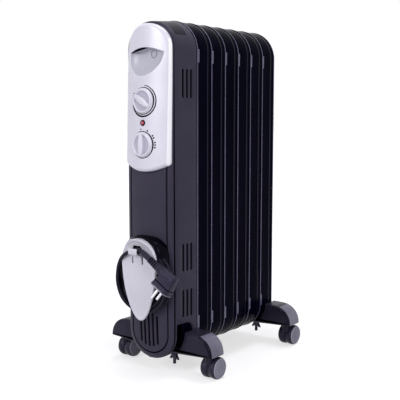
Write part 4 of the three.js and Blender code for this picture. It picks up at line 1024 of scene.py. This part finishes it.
def plug_relief():
    """Ribbed sleeve where the lead enters the plug; the grooves between its ribs get painted shade."""
    profile = [(0, -1), (4.1, -1), (4.7, 0), (5.0, 6), (5.3, 20)]
    for i in range(5):
        low, size = 21.5 + i * 4.6, 5.9 + 0.3 * i
        profile += [(size, low), (size + 0.1, low + 2.2), (size - 2.2, low + 2.5), (size - 2.1, low + 4.3)]
    profile += [(7.2, 44.8), (7.4, 47), (0, 47)]
    obj = piece("plug_relief", turned(profile, RELIEF_START, PLUG_AXIS, 36), [PLUG, SHADE_BLACK],
                sharp=40)

    def groove(face, *_):
        along = (face.center - RELIEF_START).dot(PLUG_AXIS) / MM
        return 21 < along < 45 and (face.center - plug_point(along)).length / MM < 5.4

    paint(obj, groove)
    return obj


def plug_body():
    """The plug: its neck, and a head across it that carries the pins."""
    rows = [(43, 6.4, 6.2), (47, 7.4, 7.2), (51, 8.3, 8.2), (56, 8.9, 8.8), (80, 9.7, 9.4), (84, 9.7, 9.4),
            (86.4, 9.0, 8.7), (87.8, 7.4, 7.2), (88.4, 5.0, 4.8)]
    neck = oval_loft([plug_point(row[0]) for row in rows], PIN_AXIS, PAIR_AXIS, [(a, b, 3.0) for _, a, b in rows])
    rows = [(-4, 13.5, 7.8, 5), (3, 15.4, 9.6, 5), (9, 16.8, 11.6, 5), (14.6, 17.8, 13.4, 5),
            (15.0, 17.0, 12.8, 5), (16.0, 17.0, 12.9, 5), (16.4, 17.9, 13.9, 5), (23.8, 18.9, 15.6, 4.6),
            (25.2, 18.9, 15.6, 4.6), (25.9, 18.1, 14.9, 4.6)]
    block = oval_loft([plug_point(74.2, row[0]) for row in rows], PLUG_AXIS, PAIR_AXIS, [row[1:] for row in rows])
    obj = piece("plug", neck, [PLUG], ["plug_body"], sharp=45)
    head = piece("plug_head", block, [PLUG, PLUG_EDGE_HIGHLIGHT, SHADE_BLACK], sharp=30)
    dent = [[plug_point(70 + 9 * c, -1 + 3.4 * s, side) for c, s in circle(0, 0, 1, 28)] for side in (-12, -8.9)]
    boolean(obj, flat_loft(dent))
    bevel(obj, 0.4, 2, 45, 45)

    def drop(face):
        return (face.center - plug_point(74.2)).dot(PIN_AXIS) / MM

    # Painted highlight round the pin face, and painted shade in the groove round the head.
    paint(head, lambda face, *_: 24.2 < drop(face) < 25.7, lambda face, *_: 14.7 < drop(face) < 16.3)
    pin = [(0, -1), (2.4, -1), (2.4, 16.4), (2.15, 17.8), (1.4, 18.7), (0, 19)]
    return [obj, head, plug_relief()] + [
        piece("steel_" + name, turned(pin, plug_point(74.2, 25.9, side * 9.5), PIN_AXIS, 28), [STEEL],
              [name], sharp=60) for name, side in (("plug_pin_1", -1), ("plug_pin_2", 1))]


lead_pieces = [cord_gland()] + plug_body()


# ------------------------ feet and twin-wheel casters

def inset_outline(points, depth):
    """Moves each corner of a closed outline inwards by a mitre."""
    area = sum(a[0] * b[1] - b[0] * a[1] for a, b in zip(points, points[1:] + points[:1]))
    sign = 1 if area > 0 else -1
    moved = []
    for before, here, after in zip(points[-1:] + points[:-1], points, points[1:] + points[:1]):
        first = Vector((here[0] - before[0], here[1] - before[1])).normalized()
        second = Vector((after[0] - here[0], after[1] - here[1])).normalized()
        normal = (Vector((-first.y, first.x)) + Vector((-second.y, second.x))) * (sign / 2)
        shift = normal * (depth / max(normal.length_squared, 0.4))
        moved.append((here[0] + shift.x, here[1] + shift.y))
    return moved


def foot_outline(half_length, bottom, top):
    """Front view of a foot: two domed ends, a flat beam between and a saddle under the section."""
    dome, power, edge, beam_top = 40.0, 0.92, 44.6, 50.0
    shoulder, spring = half_length - dome, edge + 1.2
    saddle_x, saddle_z, middle = HALF_WIDTH + 0.6, 56.6, BOTTOM + 56
    upper, lower = [asin((middle - z) / saddle_z) for z in (top, beam_top)]
    half = [(0.0, bottom), (30.0, bottom), (half_length - 19, edge - 0.6), (half_length - 1.5, edge)]
    half += [(shoulder + dome * cos(a) ** power, spring + (top - spring) * sin(a) ** power)
             for a in spread(0, QUARTER, 20)[:-1]]
    half.append((shoulder, top))
    half += arc(0, middle, saddle_x, -saddle_z, upper, lower, 10)
    return mirrored_ring(half + [(0.0, beam_top)])


def foot(node, name):
    (_, front, bottom), (half_length, rear, top) = box_mm(node)
    outline = foot_outline(half_length, bottom, top)
    steps = spread(0, QUARTER, 6)
    edges = ((5.5, front, 1, steps[::-1]), (2.5, rear, -1, steps))       # radius, place, way inwards, angles
    rings = [ring_at(inset_outline(outline, r * (1 - cos(a))), end + way * r * (1 - sin(a)))
             for r, end, way, angles in edges for a in angles]
    obj = piece(name, flat_loft(rings), [FOOT, FENDER_HIGHLIGHT, FOOT_EDGE_SHADE], [node], sharp=40)

    # Painted highlight on the domed ends.
    def dome(face, x, y, z):
        return front + 5.4 < y < rear - 2 and z > 46 and abs(x) > 0.78 * half_length

    # Painted shade on the bevel in front of the dome.
    def dome_edge_shade(face, x, y, z):
        return front + 0.2 < y < front + 5.4 and abs(x) > 0.78 * half_length

    paint(obj, dome, dome_edge_shade)


def wheel(node, body, outward):
    """One wheel of a twin pair: barrel tread, round shoulders and a flat cap with a ring on its outer side."""
    low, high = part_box(node)
    middle = (low + high) / 2
    radius, half = (high.z - low.z) / 2 / MM, (high.x - low.x) / 2 / MM
    inner = -half - 1.3
    profile = [(0, inner), (radius - 4, inner), (radius - 1.6, inner + 0.7), (radius - 0.5, inner + 2.2),
               (radius, 0), (radius - 0.2, half - 4), (radius - 0.9, half - 2.2), (radius - 2.0, half - 1.0),
               (radius - 2.4, half - 0.5), (radius - 2.7, half - 0.3), (6.4, half), (6.0, half - 0.5),
               (5.6, half - 0.5), (5.2, half), (0, half)]
    obj = piece("caster_" + node.replace("_wheel", "_roller"),
                turned(profile, middle, Vector((outward, 0, 0)), 56), [TREAD, CAP, CAP_EDGE_HIGHLIGHT],
                [node], sharp=32, body=body)

    def cap(face, *_):
        x, y, z = (face.center - middle) / MM
        return x * outward > half - 1.0 and hypot(y, z) < radius - 2.8

    # Painted highlight on the cap's edge.
    def cap_edge(face, *_):
        x, y, z = (face.center - middle) / MM
        return x * outward > half - 0.9 and hypot(y, z) > radius - 2.8

    paint(obj, cap, cap_edge)


def caster(corner):
    """Swivel neck with a collar, a web between the wheels and the two wheels."""
    wheels = [(which, *box_mm(f"{corner}_wheel_{which}")) for which in ("inner", "outer")]
    x = (min(low[0] for _, low, _ in wheels) + max(high[0] for _, _, high in wheels)) / 2
    _, low, high = wheels[0]
    axle_y, axle_z = (low[1] + high[1]) / 2, (low[2] + high[2]) / 2
    neck_y, reach = axle_y - 13, (high[2] - low[2]) / 2 - 2.2
    web = arc(axle_y, axle_z, reach, reach, radians(-170), radians(60), 23)
    web += [(neck_y + 11, 42.0), (neck_y - 7, 42.0), (neck_y - 7.4, 34)]
    neck = turned([(0, 28), (6.8, 28), (7.4, 36), (7.4, 41.2), (9.4, 41.9), (9.6, 43.2), (9.0, 43.9), (0, 43.9)],
                  at(x, neck_y, 0), Vector((0, 0, 1)), 40)
    piece("swivel_" + corner, merge(neck, prism(web, x - 1.7, x + 1.7, "x")), [FOOT],
          [corner + "_caster"], body=corner + "_swivel")
    for which, low, high in wheels:
        wheel(f"{corner}_wheel_{which}", f"{corner}_{which}_roller", 1 if (low[0] + high[0]) / 2 > x else -1)


foot("front_foot_bar", "front_foot")
foot("rear_foot_bar", "rear_foot")
for corner_name in ("front_left", "front_right", "rear_left", "rear_right"):
    caster(corner_name)


# ------------------------ finishes of the CAD pieces that stay


WORN = {"section_enamel": ENAMEL, "housing_paint": HOUSING, "silver_plastic": SILVER, "silver_plate": PLATE,
        "plated_steel": STEEL, "brass_fittings": BRASS, "element_sheath": SHEATH, "pale_moulding": PALE,
        "black_moulding": BLACK, "lamp_lens": LENS, "cord_rubber": RUBBER, "foot_plastic": FOOT,
        "wheel_plastic": WHEEL}
for part in frame["record"]["subparts"]:
    node = frame["nodes"][part["node"]]
    node.data.materials.clear()
    dark = part["node"].endswith(("wing_nut", "u_bolt"))
    node.data.materials.append(BOLT if dark else WORN[part["material_slot"]])
    if not node.hide_render:
        finish_shading(node, 32)


# ------------------------ stage and lamps

def seen_directly(nodes, links):
    """1 for rays that show the white surroundings: seen by the camera, in gloss or through glass."""
    path = nodes.new("ShaderNodeLightPath")
    best = path.outputs["Is Camera Ray"]
    for name in ("Is Glossy Ray", "Is Transmission Ray"):
        larger = nodes.new("ShaderNodeMath")
        larger.operation = "MAXIMUM"
        links.new(best, larger.inputs[0])
        links.new(path.outputs[name], larger.inputs[1])
        best = larger.outputs["Value"]
    return best


def stage():
    """White floor that keeps the shadow, and a white world that lights softly."""
    mesh = bpy.data.meshes.new("floor")
    size = 30.0
    mesh.from_pydata([(-size, -size, 0), (size, -size, 0), (size, size, 0), (-size, size, 0)], [], [(0, 1, 2, 3)])
    floor = new_object("floor", mesh)
    material, nodes, links, shader = principled(
        "floor_white", Base_Color=linear((196, 196, 200)), Roughness=0.9, Specular_IOR_Level=0.1,
        Emission_Color=(1, 1, 1, 1))
    away = nodes.new("ShaderNodeVectorMath")
    away.operation = "LENGTH"
    links.new(nodes.new("ShaderNodeTexCoord").outputs["Object"], away.inputs[0])
    glow = filled(nodes.new("ShaderNodeMapRange"), From_Min=0.3, From_Max=2.2, To_Min=0.6, To_Max=0.9)
    links.new(away.outputs["Value"], glow.inputs["Value"])
    shown = nodes.new("ShaderNodeMath")
    shown.operation = "MULTIPLY"
    links.new(glow.outputs["Result"], shown.inputs[0])
    links.new(seen_directly(nodes, links), shown.inputs[1])
    links.new(shown.outputs["Value"], shader.inputs["Emission Strength"])
    mesh.materials.append(material)
    world = bpy.data.worlds.new("studio")
    world.use_nodes = True
    scene.world = world
    nodes, links = world.node_tree.nodes, world.node_tree.links
    background = filled(nodes["Background"], Color=(1, 1, 1, 1))
    strength = filled(nodes.new("ShaderNodeMapRange"), To_Min=0.4, To_Max=1.0)
    links.new(seen_directly(nodes, links), strength.inputs["Value"])
    links.new(strength.outputs["Result"], background.inputs["Strength"])


def lamp(name, place, target, size, size_y, power):
    """A rectangular area lamp that points at a target."""
    data = bpy.data.lights.new(name, "AREA")
    data.shape = "RECTANGLE"
    data.size, data.size_y = size, size_y
    data.energy = power
    obj = new_object(name, data)
    obj.location = place
    obj.rotation_euler = (Vector(target) - Vector(place)).to_track_quat("-Z", "Y").to_euler()


stage()
lamp("key_right", (2.4, -1.3, 1.7), (0, 0, 0.35), 0.7, 1.5, 26)
lamp("front", (-0.6, -2.95, 1.5), (0, -0.1, 0.35), 1.2, 1.2, 39)
lamp("top", (0.3, 0.2, 2.7), (0, 0, 0.3), 1.2, 1.2, 26)
